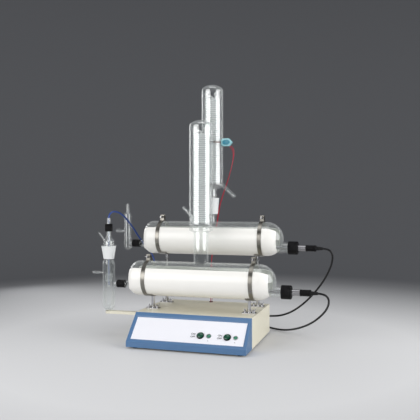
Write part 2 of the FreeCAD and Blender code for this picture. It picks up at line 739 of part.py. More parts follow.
def cable_gland(z):
    """Gland in the rear panel: hex flange outside, thread through the wall, domed nut."""
    base = Vector(GLAND_X, BACK_Y, z)
    shoulder = GLAND_FLANGE_LENGTH + GLAND_DOME_LENGTH - 4
    end = GLAND_FLANGE_LENGTH + GLAND_DOME_LENGTH
    return turned(
        base, Y_AXIS, (0, -GLAND_THREAD_LENGTH), (GLAND_THREAD_RADIUS, -GLAND_THREAD_LENGTH),
        (GLAND_THREAD_RADIUS, 0), (GLAND_FLANGE_RADIUS, 0), (GLAND_FLANGE_RADIUS, GLAND_FLANGE_LENGTH),
        (GLAND_DOME_RADIUS, GLAND_FLANGE_LENGTH), (GLAND_DOME_RADIUS, shoulder), (GLAND_DOME_RADIUS - 2.5, end),
        (0, end),
    )


def cable_grommet(x, y):
    """Rubber grommet: lip above the top sheet, neck in its hole, lip below."""
    low = CABINET_TOP - SHEET
    return turned(
        Vector(x, y, 0), Z_AXIS, (0, low - GROMMET_LIP), (GROMMET_RADIUS - 1, low - GROMMET_LIP),
        (GROMMET_RADIUS - 1, low), (GROMMET_NECK_RADIUS, low), (GROMMET_NECK_RADIUS, CABINET_TOP),
        (GROMMET_RADIUS, CABINET_TOP), (GROMMET_RADIUS - 1, CABINET_TOP + GROMMET_LIP),
        (0, CABINET_TOP + GROMMET_LIP),
    )


def boiler_form(axis_yz, radius, grow):
    """Body with a squarer left end and a round right end; grow moves every wall outward."""
    corner = BOILER_CORNER + grow
    left = BOILER_LEFT - grow
    length = BOILER_RIGHT + grow - left
    return turned(
        point(axis_yz, left), X_AXIS, (0, 0), (radius - corner, 0),
        quarter(radius - corner, corner, corner, -90, 0), (radius, length - radius),
        quarter(0, length - radius, radius, 0, 90),
    )


def left_root(axis_yz, grow):
    """The conical root of the left neck."""
    start = point((axis_yz[0], axis_yz[1] - LEFT_NECK_DROP), LEFT_ROOT_X)
    length = LEFT_ROOT_X - LEFT_CONE_END
    return Part.makeCone(LEFT_ROOT_RADIUS + grow, LEFT_THREAD_RADIUS + grow, length, start, X_AXIS * -1)


def boiler(axis_yz, top_bore, *tubes):
    """Blown glass boiler: body, two necks, the hole in its top and any tube blown onto it."""
    right = (axis_yz[0], axis_yz[1] - RIGHT_NECK_DROP)
    left = (axis_yz[0], axis_yz[1] - LEFT_NECK_DROP)
    root_x = BOILER_RIGHT - BOILER_RADIUS / 2
    bulge_middle = (root_x + RIGHT_THREAD_START) / 2 + 8 - root_x
    neck = turned(
        point(right, root_x), X_AXIS, (0, 0), (RIGHT_NECK_RADIUS, 0),
        (RIGHT_BULGE_RADIUS, bulge_middle, RIGHT_NECK_RADIUS, RIGHT_THREAD_START - root_x),
        (RIGHT_THREAD_RADIUS - 1, RIGHT_THREAD_START - root_x),
        (RIGHT_THREAD_RADIUS - 1, RIGHT_NECK_END - root_x), (0, RIGHT_NECK_END - root_x),
    )
    left_neck = rod(point(left, LEFT_ROOT_X), point(left, LEFT_NECK_END), LEFT_THREAD_RADIUS)
    outside = joined(boiler_form(axis_yz, BOILER_RADIUS, 0), neck, left_root(axis_yz, 0), left_neck, *tubes)
    inside = boiler_form(axis_yz, BOILER_RADIUS - BOILER_WALL, -BOILER_WALL)
    neck_bore = rod(point(right, RIGHT_NECK_ROOT), point(right, RIGHT_NECK_END + CUT_MARGIN), RIGHT_NECK_BORE)
    root_bore = left_root(axis_yz, -BOILER_WALL)
    pipe_bore = rod(
        point(left, LEFT_ROOT_X), point(left, LEFT_NECK_END - CUT_MARGIN), PIPE_RADIUS + RUNNING_GAP
    )
    return outside.cut(joined(inside, neck_bore, root_bore, pipe_bore, top_bore))


def lower_boiler():
    """Lower boiler with the hole that its riser stands over."""
    base = Vector(CONDENSER_X, LOWER_AXIS[0], LOWER_AXIS[1])
    return boiler(LOWER_AXIS, Part.makeCylinder(RISER_RADIUS - RISER_WALL, BOILER_RADIUS + CUT_MARGIN, base))


def lower_riser():
    """Wide riser with its flange, its foot shaped to the boiler that it is fused to."""
    base = Vector(CONDENSER_X, LOWER_AXIS[0], LOWER_AXIS[1])
    top = RISER_FLANGE_TOP - LOWER_AXIS[1]
    flange = top - RISER_FLANGE
    flare = flange - (RISER_FLANGE_RADIUS - RISER_RADIUS) / 2
    outer = turned(
        base, Z_AXIS, (0, BOILER_RADIUS / 2), (RISER_RADIUS, BOILER_RADIUS / 2), (RISER_RADIUS, flare),
        (RISER_FLANGE_RADIUS, flange), (RISER_FLANGE_RADIUS, top), (0, top),
    )
    bore = Part.makeCylinder(RISER_RADIUS - RISER_WALL, top + CUT_MARGIN, base)
    return outer.cut([bore, boiler_form(LOWER_AXIS, BOILER_RADIUS, 0)])


def upper_boiler():
    """Upper boiler with the narrow tube that carries the ground socket."""
    base = Vector(CONDENSER_X, UPPER_AXIS[0], UPPER_AXIS[1])
    top = SOCKET_BOTTOM - UPPER_AXIS[1]
    outer = turned(
        base, Z_AXIS, (0, BOILER_RADIUS / 2), (DRIP_TUBE_RADIUS, BOILER_RADIUS / 2),
        (DRIP_TUBE_RADIUS, top - DRIP_TUBE_FLARE), (SOCKET_RADIUS_BOTTOM, top), (0, top),
    )
    bore = Part.makeCylinder(DRIP_TUBE_RADIUS - DRIP_TUBE_WALL, top + CUT_MARGIN, base)
    return boiler(UPPER_AXIS, bore, outer)


def jacket(axis_yz):
    """White half jacket round the glass, open along the top and cut back from both ends."""
    clear = SEAT_GAP
    outside = joined(boiler_form(axis_yz, BOILER_RADIUS + JACKET_WALL, JACKET_WALL), left_root(axis_yz, JACKET_WALL))
    inside = joined(boiler_form(axis_yz, BOILER_RADIUS + clear, clear), left_root(axis_yz, clear))
    reach = 2 * BOILER_RADIUS
    half = math.radians(JACKET_OPENING_ANGLE / 2)
    left = LEFT_CONE_END - CUT_MARGIN
    wedge = [
        Vector(left, axis_yz[0], axis_yz[1]),
        Vector(left, axis_yz[0] - reach * math.sin(half), axis_yz[1] + reach * math.cos(half)),
        Vector(left, axis_yz[0] + reach * math.sin(half), axis_yz[1] + reach * math.cos(half)),
    ]
    opening = Part.Face(Part.makePolygon(wedge + wedge[:1])).extrude(Vector(BOILER_RIGHT - left + reach, 0, 0))
    beyond = block(
        (JACKET_RIGHT, axis_yz[0] - reach, axis_yz[1] - reach),
        (BOILER_RIGHT + reach, axis_yz[0] + reach, axis_yz[1] + reach),
    )
    tip = block(
        (left - reach, axis_yz[0] - reach, axis_yz[1] - reach),
        (JACKET_CONE_LEFT, axis_yz[0] + reach, axis_yz[1] + reach),
    )
    flat_end = block(
        (left - reach, axis_yz[0] - reach, axis_yz[1] - reach),
        (JACKET_LEFT, axis_yz[0] + reach, axis_yz[1] + reach),
    ).cut(left_root(axis_yz, JACKET_WALL))
    right = (axis_yz[0], axis_yz[1] - RIGHT_NECK_DROP)
    left_axis = (axis_yz[0], axis_yz[1] - LEFT_NECK_DROP)
    neck_hole = rod(point(right, 0), point(right, BOILER_RIGHT + reach), RIGHT_NECK_RADIUS + JACKET_NECK_GAP)
    pipe_hole = rod(point(left_axis, 0), point(left_axis, left - reach), LEFT_THREAD_RADIUS + clear)
    return outside.cut([inside, opening, beyond, tip, flat_end, neck_hole, pipe_hole])


def post(post_x, axis_yz):
    """Chromed post welded to its foot plate, its top cut to the cradle's curve."""
    foot = CABINET_TOP + POST_PLATE[2]
    plate_body = plate((post_x, axis_yz[0], CABINET_TOP + POST_PLATE[2] / 2), POST_PLATE)
    bar = rod(Vector(post_x, axis_yz[0], foot), Vector(post_x, axis_yz[0], axis_yz[1]), POST_RADIUS)
    cradle = SADDLE_RADIUS + CRADLE_THICKNESS + SEAT_GAP
    reach = POST_PLATE[0]
    bar = bar.cut(rod(point(axis_yz, post_x - reach), point(axis_yz, post_x + reach), cradle))
    standing = joined(plate_body, bar)
    for side in (-1, 1):
        hole = Vector(post_x + side * FOOT_STUD_X, axis_yz[0], CABINET_TOP - CUT_MARGIN)
        standing = standing.cut(Part.makeCylinder(FOOT_STUD_RADIUS + SEAT_GAP, foot, hole))
    return standing


def foot_stud(x, y):
    """Threaded stud with its head under the top sheet."""
    low = CABINET_TOP - SHEET - FOOT_STUD_DROP
    head = Part.makeCylinder(FOOT_STUD_RADIUS + 2, FOOT_STUD_DROP / 2, Vector(x, y, low + FOOT_STUD_DROP / 2))
    shank = rod(Vector(x, y, low + FOOT_STUD_DROP / 2), Vector(x, y, CABINET_TOP + FOOT_STUD_RISE), FOOT_STUD_RADIUS)
    return joined(head, shank)


def wing_nut(base, axis, wing_direction, bore):
    """Hub with a rounded shoulder and two upswept wings."""
    hub = turned(
        Vector(0, 0, 0), Z_AXIS, (bore, 0), (WING_HUB_RADIUS, 0), (WING_HUB_RADIUS, WING_HUB_HEIGHT - 2),
        (WING_HUB_RADIUS - 1.5, WING_HUB_HEIGHT), (bore, WING_HUB_HEIGHT),
    )
    half = WING_THICKNESS / 2
    root = bore + 0.8
    tip = WING_SPAN / 2
    top = WING_HUB_HEIGHT + WING_RISE
    outline = [
        Vector(root, -half, 1), Vector(WING_HUB_RADIUS, -half, 1), Vector(tip, -half, WING_HUB_HEIGHT),
        Vector(tip, -half, top - 2), Vector(tip - 3, -half, top), Vector(WING_HUB_RADIUS, -half, WING_HUB_HEIGHT),
        Vector(root, -half, WING_HUB_HEIGHT - 1),
    ]
    wing = Part.Face(Part.makePolygon(outline + outline[:1])).extrude(Vector(0, WING_THICKNESS, 0))
    other = wing.mirror(Vector(0, 0, 0), X_AXIS)
    nut = joined(hub, wing, other)
    turn = FreeCAD.Rotation(Z_AXIS, axis)
    now = turn.multVec(X_AXIS)
    swing = math.degrees(math.atan2(now.cross(wing_direction).dot(axis), now.dot(wing_direction)))
    nut.Placement = FreeCAD.Placement(base, FreeCAD.Rotation(axis, swing).multiply(turn))
    return nut


def foot_wing_nut(x, y):
    """Wing nut on a foot stud, its wings turned clear of the post."""
    outward = 1 if abs(x) > POST_X else -1
    side = 1 if x > 0 else -1
    direction = Vector(side * outward * 0.5, 0.86, 0)
    base = Vector(x, y, CABINET_TOP + POST_PLATE[2])
    return wing_nut(base, Z_AXIS, direction, FOOT_STUD_RADIUS + SEAT_GAP)


def clamp(side, axis_yz):
    """Chromed band round the boiler with ears on top, and the cradle below it that meets the post."""
    left = side * BAND_X - BAND_WIDTH / 2
    right = left + BAND_WIDTH
    band = tube(point(axis_yz, left), point(axis_yz, right), BAND_RADIUS, SADDLE_RADIUS)
    ear_top = axis_yz[1] + BAND_RADIUS + EAR_RISE
    ear_low = axis_yz[1] + SADDLE_RADIUS - 1
    half_gap = EAR_GAP / 2
    gap = block(
        (left - CUT_MARGIN, axis_yz[0] - half_gap, axis_yz[1]),
        (right + CUT_MARGIN, axis_yz[0] + half_gap, ear_top),
    )
    inner_bar = rod(point(axis_yz, left - CUT_MARGIN), point(axis_yz, right + CUT_MARGIN), SADDLE_RADIUS)
    screw_z = axis_yz[1] + BAND_RADIUS + SCREW_RISE
    screw_hole = rod(
        Vector(side * BAND_X, axis_yz[0] - EAR_GAP, screw_z), Vector(side * BAND_X, axis_yz[0] + EAR_GAP, screw_z),
        SCREW_RADIUS + SEAT_GAP,
    )
    ears = []
    for direction in (-1, 1):
        near = axis_yz[0] + direction * half_gap
        far = near + direction * BAND_THICKNESS
        ear = block((left, min(near, far), ear_low), (right, max(near, far), ear_top))
        ears.append(ear.cut(inner_bar))
    ring = joined(band.cut(gap), *ears).cut(screw_hole)
    inner_edge = side * (POST_X - POST_RADIUS - 2)
    outer_edge = side * (BAND_X + BAND_WIDTH / 2)
    cradle = tube(
        point(axis_yz, inner_edge), point(axis_yz, outer_edge), SADDLE_RADIUS + CRADLE_THICKNESS, SADDLE_RADIUS
    )
    reach = 2 * BAND_RADIUS
    half = math.radians(CRADLE_HALF_ANGLE)
    wedge = [
        Vector(inner_edge, axis_yz[0], axis_yz[1]),
        Vector(inner_edge, axis_yz[0] - reach * math.sin(half), axis_yz[1] - reach * math.cos(half)),
        Vector(inner_edge, axis_yz[0] + reach * math.sin(half), axis_yz[1] - reach * math.cos(half)),
    ]
    below = Part.Face(Part.makePolygon(wedge + wedge[:1])).extrude(Vector(outer_edge - inner_edge, 0, 0))
    return joined(ring, cradle.common(below))


def clamp_screw(side, axis_yz):
    """Screw through both ears, head at the back, tail through the wing nut in front."""
    z = axis_yz[1] + BAND_RADIUS + SCREW_RISE
    head_y = axis_yz[0] + EAR_GAP / 2 + BAND_THICKNESS
    tail_y = axis_yz[0] - EAR_GAP / 2 - BAND_THICKNESS - SCREW_TAIL
    head = rod(Vector(side * BAND_X, head_y, z), Vector(side * BAND_X, head_y + SCREW_HEAD, z), SCREW_HEAD_RADIUS)
    shank = rod(Vector(side * BAND_X, tail_y, z), Vector(side * BAND_X, head_y, z), SCREW_RADIUS)
    return joined(head, shank)


def clamp_nut(side, axis_yz):
    """Wing nut that draws a clamp's ears together."""
    z = axis_yz[1] + BAND_RADIUS + SCREW_RISE
    y = axis_yz[0] - EAR_GAP / 2 - BAND_THICKNESS - SEAT_GAP
    return wing_nut(Vector(side * BAND_X, y, z), Y_AXIS * -1, X_AXIS, SCREW_RADIUS + SEAT_GAP)


def heater(axis_yz):
    """Heater sheath along the boiler's bottom, with its head on the neck's seal."""
    neck = (axis_yz[0], axis_yz[1] - RIGHT_NECK_DROP)
    seat = RIGHT_NECK_END + SEAL_THICKNESS
    length = seat - HEATER_TIP
    return turned(
        point(neck, HEATER_TIP), X_AXIS, (0, 0), quarter(0, HEATER_RADIUS, HEATER_RADIUS, -90, 0),
        (HEATER_RADIUS, length), (RIGHT_THREAD_RADIUS - 1.5, length), (RIGHT_THREAD_RADIUS - 1.5, length + HEATER_HEAD),
        (0, length + HEATER_HEAD),
    )


def heater_seal(axis_yz):
    """Silicone ring between the neck's end and the heater's head."""
    neck = (axis_yz[0], axis_yz[1] - RIGHT_NECK_DROP)
    start = point(neck, RIGHT_NECK_END)
    return tube(start, start + X_AXIS * SEAL_THICKNESS, RIGHT_THREAD_RADIUS - 1.5, SEAL_INNER_RADIUS)


def fluted_cap(base, axis, radius, length, bore, end_wall, aperture):
    """Screw cap: skirt with finger flutes, end wall with a round aperture."""
    cap = turned(
        base, axis, (bore, 0), (radius, 0), (radius, length - 1.5), (radius - 1.5, length), (aperture, length),
        (aperture, length - end_wall), (bore, length - end_wall),
    )
    turn = FreeCAD.Rotation(Z_AXIS, axis)
    flutes = []
    for index in range(CAP_FLUTES):
        angle = 2 * math.pi * index / CAP_FLUTES
        side = turn.multVec(Vector(math.cos(angle), math.sin(angle), 0))
        start = base + side * (radius + CAP_FLUTE_RADIUS * 0.4) + axis * (length * 0.18)
        flutes.append(Part.makeCylinder(CAP_FLUTE_RADIUS, length, start, axis))
    return cap.cut(flutes)


def heater_cap(axis_yz):
    """Black screw cap that holds the heater's head on the neck."""
    neck = (axis_yz[0], axis_yz[1] - RIGHT_NECK_DROP)
    length = RIGHT_NECK_END + SEAL_THICKNESS + HEATER_HEAD + RUNNING_GAP + CAP_END_WALL - CAP_LEFT
    return fluted_cap(
        point(neck, CAP_LEFT), X_AXIS, CAP_RADIUS, length, RIGHT_THREAD_RADIUS - 1 + RUNNING_GAP, CAP_END_WALL,
        FERRULE_RADIUS + CAP_APERTURE_GAP,
    )


def heater_ferrule(axis_yz):
    """Metal sleeve between the heater's head and its connector."""
    neck = (axis_yz[0], axis_yz[1] - RIGHT_NECK_DROP)
    start = RIGHT_NECK_END + SEAL_THICKNESS + HEATER_HEAD
    return rod(point(neck, start), point(neck, FERRULE_END), FERRULE_RADIUS)


def heater_plug(axis_yz):
    """Black connector body with grip grooves."""
    neck = (axis_yz[0], axis_yz[1] - RIGHT_NECK_DROP)
    length = PLUG_END - FERRULE_END
    steps = [(0, 0), (PLUG_RADIUS - 1, 0), (PLUG_RADIUS, 1)]
    pitch = length * 0.6 / PLUG_GROOVES
    for groove in range(PLUG_GROOVES):
        start = length * 0.2 + groove * pitch
        steps += [(PLUG_RADIUS, start), (PLUG_RADIUS - 1, start + pitch * 0.35), (PLUG_RADIUS, start + pitch * 0.7)]
    steps += [(PLUG_RADIUS, length - 2), (PLUG_RADIUS - 2, length), (0, length)]
    return turned(point(neck, FERRULE_END), X_AXIS, *steps)


def strain_relief(axis_yz, exit_z):
    """Tapered boot between the connector and its cable."""
    neck = (axis_yz[0], axis_yz[1] - RIGHT_NECK_DROP)
    start = point(neck, PLUG_END)
    end = Vector(RELIEF_END, axis_yz[0], exit_z)
    return Part.makeCone(RELIEF_RADIUS, RELIEF_TIP_RADIUS, (end - start).Length, start, X_AXIS)


def pipe_cap(axis_yz):
    """Black screw cap on the left neck, round the level pipe."""
    left = (axis_yz[0], axis_yz[1] - LEFT_NECK_DROP)
    start = PIPE_CAP_LEFT + PIPE_CAP_LENGTH
    return fluted_cap(
        point(left, start), X_AXIS * -1, PIPE_CAP_RADIUS, PIPE_CAP_LENGTH, LEFT_THREAD_RADIUS + RUNNING_GAP,
        PIPE_CAP_END_WALL, PIPE_RADIUS + RUNNING_GAP,
    )


def water_arms(y, inner, root_z):
    """The coil's two hose arms, to the left and to the back: their outsides, then their bores."""
    outsides = []
    bores = []
    for outward in (X_AXIS * -1, Y_AXIS):
        root = Vector(CONDENSER_X, y, root_z) + outward * inner
        along = (outward + Z_AXIS).normalize()
        end = root + along * ARM_REACH * math.sqrt(2)
        start = root - along * ARM_ROOT_RADIUS
        flare = Part.makeCone(
            ARM_ROOT_RADIUS, ARM_RADIUS, ARM_ROOT_RADIUS + ARM_ROOT_LENGTH, start, along
        )
        outsides += [rod(start, end, ARM_RADIUS), flare]
        bores.append(rod(root - along * CONDENSER_WALL, end + along, ARM_BORE))
    return outsides, bores


def front_condenser():
    """Tall glass jacket on the riser's flange, with a domed top and the coil's two arms."""
    base = Vector(CONDENSER_X, LOWER_AXIS[0], RISER_FLANGE_TOP)
    height = FRONT_CONDENSER_TOP - RISER_FLANGE_TOP
    radius = FRONT_CONDENSER_RADIUS
    flare = RISER_FLANGE + 12
    outer = turned(
        base, Z_AXIS, (0, 0), (RISER_FLANGE_RADIUS, 0), (RISER_FLANGE_RADIUS, RISER_FLANGE),
        (radius - 8, RISER_FLANGE + 2), (radius, flare), (radius, height - radius),
        quarter(0, height - radius, radius, 0, 90),
    )
    inner = radius - CONDENSER_WALL
    mouth = RISER_RADIUS - RISER_WALL
    inside = turned(
        base, Z_AXIS, (0, -CUT_MARGIN), (mouth, -CUT_MARGIN), (mouth, RISER_FLANGE), (inner, flare + 4),
        (inner, height - radius), quarter(0, height - radius, inner, 0, 90),
    )
    arms, arm_bores = water_arms(LOWER_AXIS[0], inner, RISER_FLANGE_TOP + FRONT_ARM_RISE)
    return joined(outer, *arms).cut([inside, *arm_bores])


def rear_condenser():
    """Second glass jacket on its ground cone, with the coil's two arms and a drain arm on the right."""
    base = Vector(CONDENSER_X, UPPER_AXIS[0], SOCKET_BOTTOM)
    height = REAR_CONDENSER_TOP - SOCKET_BOTTOM
    bottom = REAR_CONDENSER_BOTTOM - SOCKET_BOTTOM
    socket = SOCKET_TOP - SOCKET_BOTTOM
    radius = REAR_CONDENSER_RADIUS
    taper = (SOCKET_RADIUS_TOP - SOCKET_RADIUS_BOTTOM) / socket
    cone_low = SOCKET_RADIUS_BOTTOM - SOCKET_WALL - SEAT_GAP + 2 * taper
    cone_top = SOCKET_RADIUS_TOP - SOCKET_WALL - SEAT_GAP
    outer = turned(
        base, Z_AXIS, (0, 2), (cone_low, 2), (cone_top, socket), (REAR_NECK_RADIUS, socket + 6),
        (REAR_NECK_RADIUS, bottom), (radius - CONDENSER_SHOULDER, bottom),
        quarter(radius - CONDENSER_SHOULDER, bottom + CONDENSER_SHOULDER, CONDENSER_SHOULDER, -90, 0),
        (radius, height - radius), quarter(0, height - radius, radius, 0, 90),
    )
    inner = radius - CONDENSER_WALL
    bore = REAR_NECK_RADIUS - CONE_WALL
    inside = turned(
        base, Z_AXIS, (0, 1), (bore, 1), (bore, bottom + CONDENSER_WALL), (inner, bottom + CONDENSER_SHOULDER),
        (inner, height - radius), quarter(0, height - radius, inner, 0, 90),
    )
    drain_root = Vector(CONDENSER_X + inner - 2, UPPER_AXIS[0], REAR_CONDENSER_BOTTOM + DRAIN_RISE)
    drain_end = drain_root + Vector(DRAIN_REACH[0], 0, DRAIN_REACH[1])
    drain_way = (drain_end - drain_root).normalize()
    drain = rod(drain_root - drain_way * DRAIN_RADIUS, drain_end, DRAIN_RADIUS)
    drain_hole = rod(drain_root, drain_end + drain_way, DRAIN_BORE)
    arms, arm_bores = water_arms(UPPER_AXIS[0], inner, REAR_CONDENSER_BOTTOM + REAR_ARM_RISE)
    return joined(outer, drain, *arms).cut([inside, drain_hole, *arm_bores])


def condenser_coil(y, foot_z, top_z, arm_rise, radius):
    """Cooling coil: in from the left arm, wound up the jacket, down its middle and out to the back arm."""
    low = foot_z + COIL_FOOT
    under = low - COIL_RETURN_DROP
    turns = round((top_z - COIL_HEAD_ROOM - low) / COIL_PITCH)
    wall = radius - CONDENSER_WALL - RUNNING_GAP
    arm_z = foot_z + arm_rise
    route = [(-wall, 0, arm_z), (-COIL_LEG_RADIUS, 0, arm_z), (-COIL_LEG_RADIUS, 0, low)]
    for step in range(turns * COIL_STEPS + 1):
        angle = math.pi + 2 * math.pi * step / COIL_STEPS
        height = low + COIL_PITCH * step / COIL_STEPS
        route.append((COIL_RADIUS * math.cos(angle), COIL_RADIUS * math.sin(angle), height))
    head = route[-1][2] + COIL_RETURN_RISE
    route += [(-COIL_RADIUS / 2, -COIL_RADIUS / 3, head), (0, 0, head), (0, 0, under)]
    route += [(0, COIL_LEG_RADIUS, under), (0, COIL_LEG_RADIUS, arm_z), (0, wall, arm_z)]
    centre = Vector(CONDENSER_X, y, 0)
    return mitred_tube([centre + Vector(*place) for place in route], COIL_TUBE_RADIUS, COIL_SIDES)


def rear_joint_socket():
    """Ground glass socket that takes the rear condenser's cone."""
    base = Vector(CONDENSER_X, UPPER_AXIS[0], SOCKET_BOTTOM)
    height = SOCKET_TOP - SOCKET_BOTTOM
    return turned(
        base, Z_AXIS, (SOCKET_RADIUS_BOTTOM - SOCKET_WALL, 0), (SOCKET_RADIUS_BOTTOM, 0),
        (SOCKET_RADIUS_TOP, height), (SOCKET_RADIUS_TOP - SOCKET_WALL, height),
    )


def vessel_bracket():
    """Folded bar from the cabinet's left wall, with the vessel's seat near its end."""
    half = BRACKET_DEPTH / 2
    low = VESSEL_BOTTOM - BRACKET_HEIGHT
    wall = -SIDE_X
    bar = block((VESSEL[0], VESSEL[1] - half, low), (wall, VESSEL[1] + half, VESSEL_BOTTOM))
    end = Part.makeCylinder(BRACKET_END, BRACKET_HEIGHT, Vector(VESSEL[0], VESSEL[1], low))
    flange_centre = (wall - BRACKET_FLANGE[0] / 2, VESSEL[1], VESSEL_BOTTOM - BRACKET_HEIGHT / 2)
    flange = plate(flange_centre, BRACKET_FLANGE)
    seat_low = Vector(VESSEL[0], VESSEL[1], low - CUT_MARGIN)
    seat = Part.makeCylinder(VESSEL_STEM_RADIUS + SEAT_GAP, BRACKET_HEIGHT + 2 * CUT_MARGIN, seat_low)
    return joined(bar, end, flange).cut(seat)


def level_vessel():
    """Tall glass vessel: flared foot on the bracket, body, shoulder, side pipe and hose nozzle."""
    base = Vector(VESSEL[0], VESSEL[1], VESSEL_BOTTOM)
    shoulder = VESSEL_SHOULDER - VESSEL_BOTTOM
    joint = VESSEL_JOINT_BOTTOM - VESSEL_BOTTOM
    throat = VESSEL_JOINT_RADII[0] - 2
    outer = turned(
        base, Z_AXIS, (0, -VESSEL_STEM_LENGTH), (VESSEL_STEM_RADIUS, -VESSEL_STEM_LENGTH), (VESSEL_STEM_RADIUS, 0),
        (VESSEL_FLARE_RADIUS, 0), (VESSEL_FLARE_RADIUS, 2), (VESSEL_RADIUS, 16), (VESSEL_RADIUS, shoulder),
        (throat, joint - 4), (throat, joint), (0, joint),
    )
    inner = VESSEL_RADIUS - VESSEL_WALL
    inside = turned(
        base, Z_AXIS, (0, 6), (inner - 6, 6), (inner, 18), (inner, shoulder), (throat - VESSEL_WALL, joint - 4),
        (throat - VESSEL_WALL, joint + CUT_MARGIN), (0, joint + CUT_MARGIN),
    )
    pipe_z = LOWER_AXIS[1] - LEFT_NECK_DROP
    pipe_root = Vector(VESSEL[0] + inner - 1, VESSEL[1], pipe_z)
    pipe_end = Vector(PIPE_END, VESSEL[1], pipe_z)
    barb_root = Vector(VESSEL[0] - inner + 1, VESSEL[1], BARB_Z)
    barb_hole = rod(barb_root, barb_root - X_AXIS * VESSEL_WALL * 2, BARB_BORE)
    body = joined(outer, rod(pipe_root, pipe_end, PIPE_RADIUS))
    body = body.cut([inside, rod(pipe_root, pipe_end + X_AXIS, PIPE_BORE), barb_hole])
    nozzle = hose_barb(
        Vector(VESSEL[0] - VESSEL_RADIUS + 0.8, VESSEL[1], BARB_Z), X_AXIS * -1, BARB_STEM_LENGTH, BARB_RIBS,
        BARB_RIB_LENGTH, BARB_STEM_RADIUS, BARB_RIB_RADIUS, BARB_BORE,
    )
    return joined(body, nozzle)


def level_joint_socket():
    """Ground glass funnel joint between the vessel and its head."""
    base = Vector(VESSEL[0], VESSEL[1], VESSEL_JOINT_BOTTOM)
    height = VESSEL_JOINT_TOP - VESSEL_JOINT_BOTTOM
    low, high = VESSEL_JOINT_RADII
    return turned(
        base, Z_AXIS, (low - VESSEL_WALL - 2, 0), (low, 0), (high, height), (high - VESSEL_WALL - 1, height),
        (high - VESSEL_WALL - 2, height - 2),
    )


def level_vessel_head():
    """Glass head on the joint: bulb, narrow neck with a screw finish, and a vent arm."""
    base = Vector(VESSEL[0], VESSEL[1], VESSEL_JOINT_TOP)
    bulb = VESSEL_HEAD_SHOULDER - VESSEL_JOINT_TOP
    neck = VESSEL_NECK_Z - VESSEL_JOINT_TOP
    thread = VESSEL_THREAD_START - VESSEL_JOINT_TOP
    end = VESSEL_NECK_END - VESSEL_JOINT_TOP
    lip = VESSEL_JOINT_RADII[1]
    outer = turned(
        base, Z_AXIS, (0, 0), (lip, 0), (lip, 3), (VESSEL_HEAD_RADIUS, 5), (VESSEL_HEAD_RADIUS, bulb),
        (VESSEL_NECK_RADIUS, neck), (VESSEL_NECK_RADIUS, thread), (VESSEL_THREAD_RADIUS, thread + 3),
        (VESSEL_THREAD_RADIUS, end), (0, end),
    )
    inner = VESSEL_HEAD_RADIUS - VESSEL_WALL
    bore = REED_RADIUS + RUNNING_GAP
    inside = turned(
        base, Z_AXIS, (0, -CUT_MARGIN), (inner, -CUT_MARGIN), (inner, bulb - 2), (bore, neck - 2),
        (bore, end + CUT_MARGIN), (0, end + CUT_MARGIN),
    )
    arm_root = Vector(VESSEL[0] - inner + 2, VESSEL[1], VESSEL_HEAD_SHOULDER - 2)
    arm_end = arm_root + Vector(-VESSEL_ARM_REACH, 0, VESSEL_ARM_REACH * 1.3)
    body = joined(outer, rod(arm_root, arm_end, VESSEL_ARM_RADIUS))
    return body.cut([inside, rod(arm_root, arm_end + (arm_end - arm_root).normalize(), VESSEL_ARM_BORE)])


def reed_tube():
    """Switch tube down the vessel's middle: nipple above the cap, collar on the neck, stop for the float."""
    base = Vector(VESSEL[0], VESSEL[1], REED_BOTTOM)
    collar = VESSEL_NECK_END - REED_BOTTOM
    collar_top = collar + REED_COLLAR
    top = REED_TOP - REED_BOTTOM
    rest = FLOAT_BOTTOM - REED_BOTTOM - RUNNING_GAP
    return turned(
        base, Z_AXIS, (0, 0), (REED_RADIUS, 0), (REED_RADIUS, rest - REED_COLLAR), (REED_COLLAR_RADIUS, rest - REED_COLLAR),
        (REED_COLLAR_RADIUS, rest), (REED_RADIUS, rest), (REED_RADIUS, collar),
        (REED_COLLAR_RADIUS, collar), (REED_COLLAR_RADIUS, collar_top), (REED_RADIUS + 0.7, collar_top),
        (REED_RADIUS + 0.7, top), (0, top),
    )


def level_float():
    """Ring float with its magnet, free to rise on the switch tube."""
    base = Vector(VESSEL[0], VESSEL[1], FLOAT_BOTTOM)
    bore = REED_RADIUS + RUNNING_GAP
    return turned(
        base, Z_AXIS, (bore, 0), (FLOAT_RADIUS - 2, 0), (FLOAT_RADIUS, 2), (FLOAT_RADIUS, FLOAT_HEIGHT - 2),
        (FLOAT_RADIUS - 2, FLOAT_HEIGHT), (bore, FLOAT_HEIGHT),
    )


def reed_cap():
    """Black screw cap that holds the switch tube's collar on the head."""
    length = VESSEL_NECK_END + REED_COLLAR + RUNNING_GAP + REED_CAP_END_WALL - REED_CAP_BOTTOM
    base = Vector(VESSEL[0], VESSEL[1], REED_CAP_BOTTOM)
    bore = VESSEL_THREAD_RADIUS + RUNNING_GAP
    return fluted_cap(base, Z_AXIS, REED_CAP_RADIUS, length, bore, REED_CAP_END_WALL, REED_RADIUS + 0.7 + RUNNING_GAP)


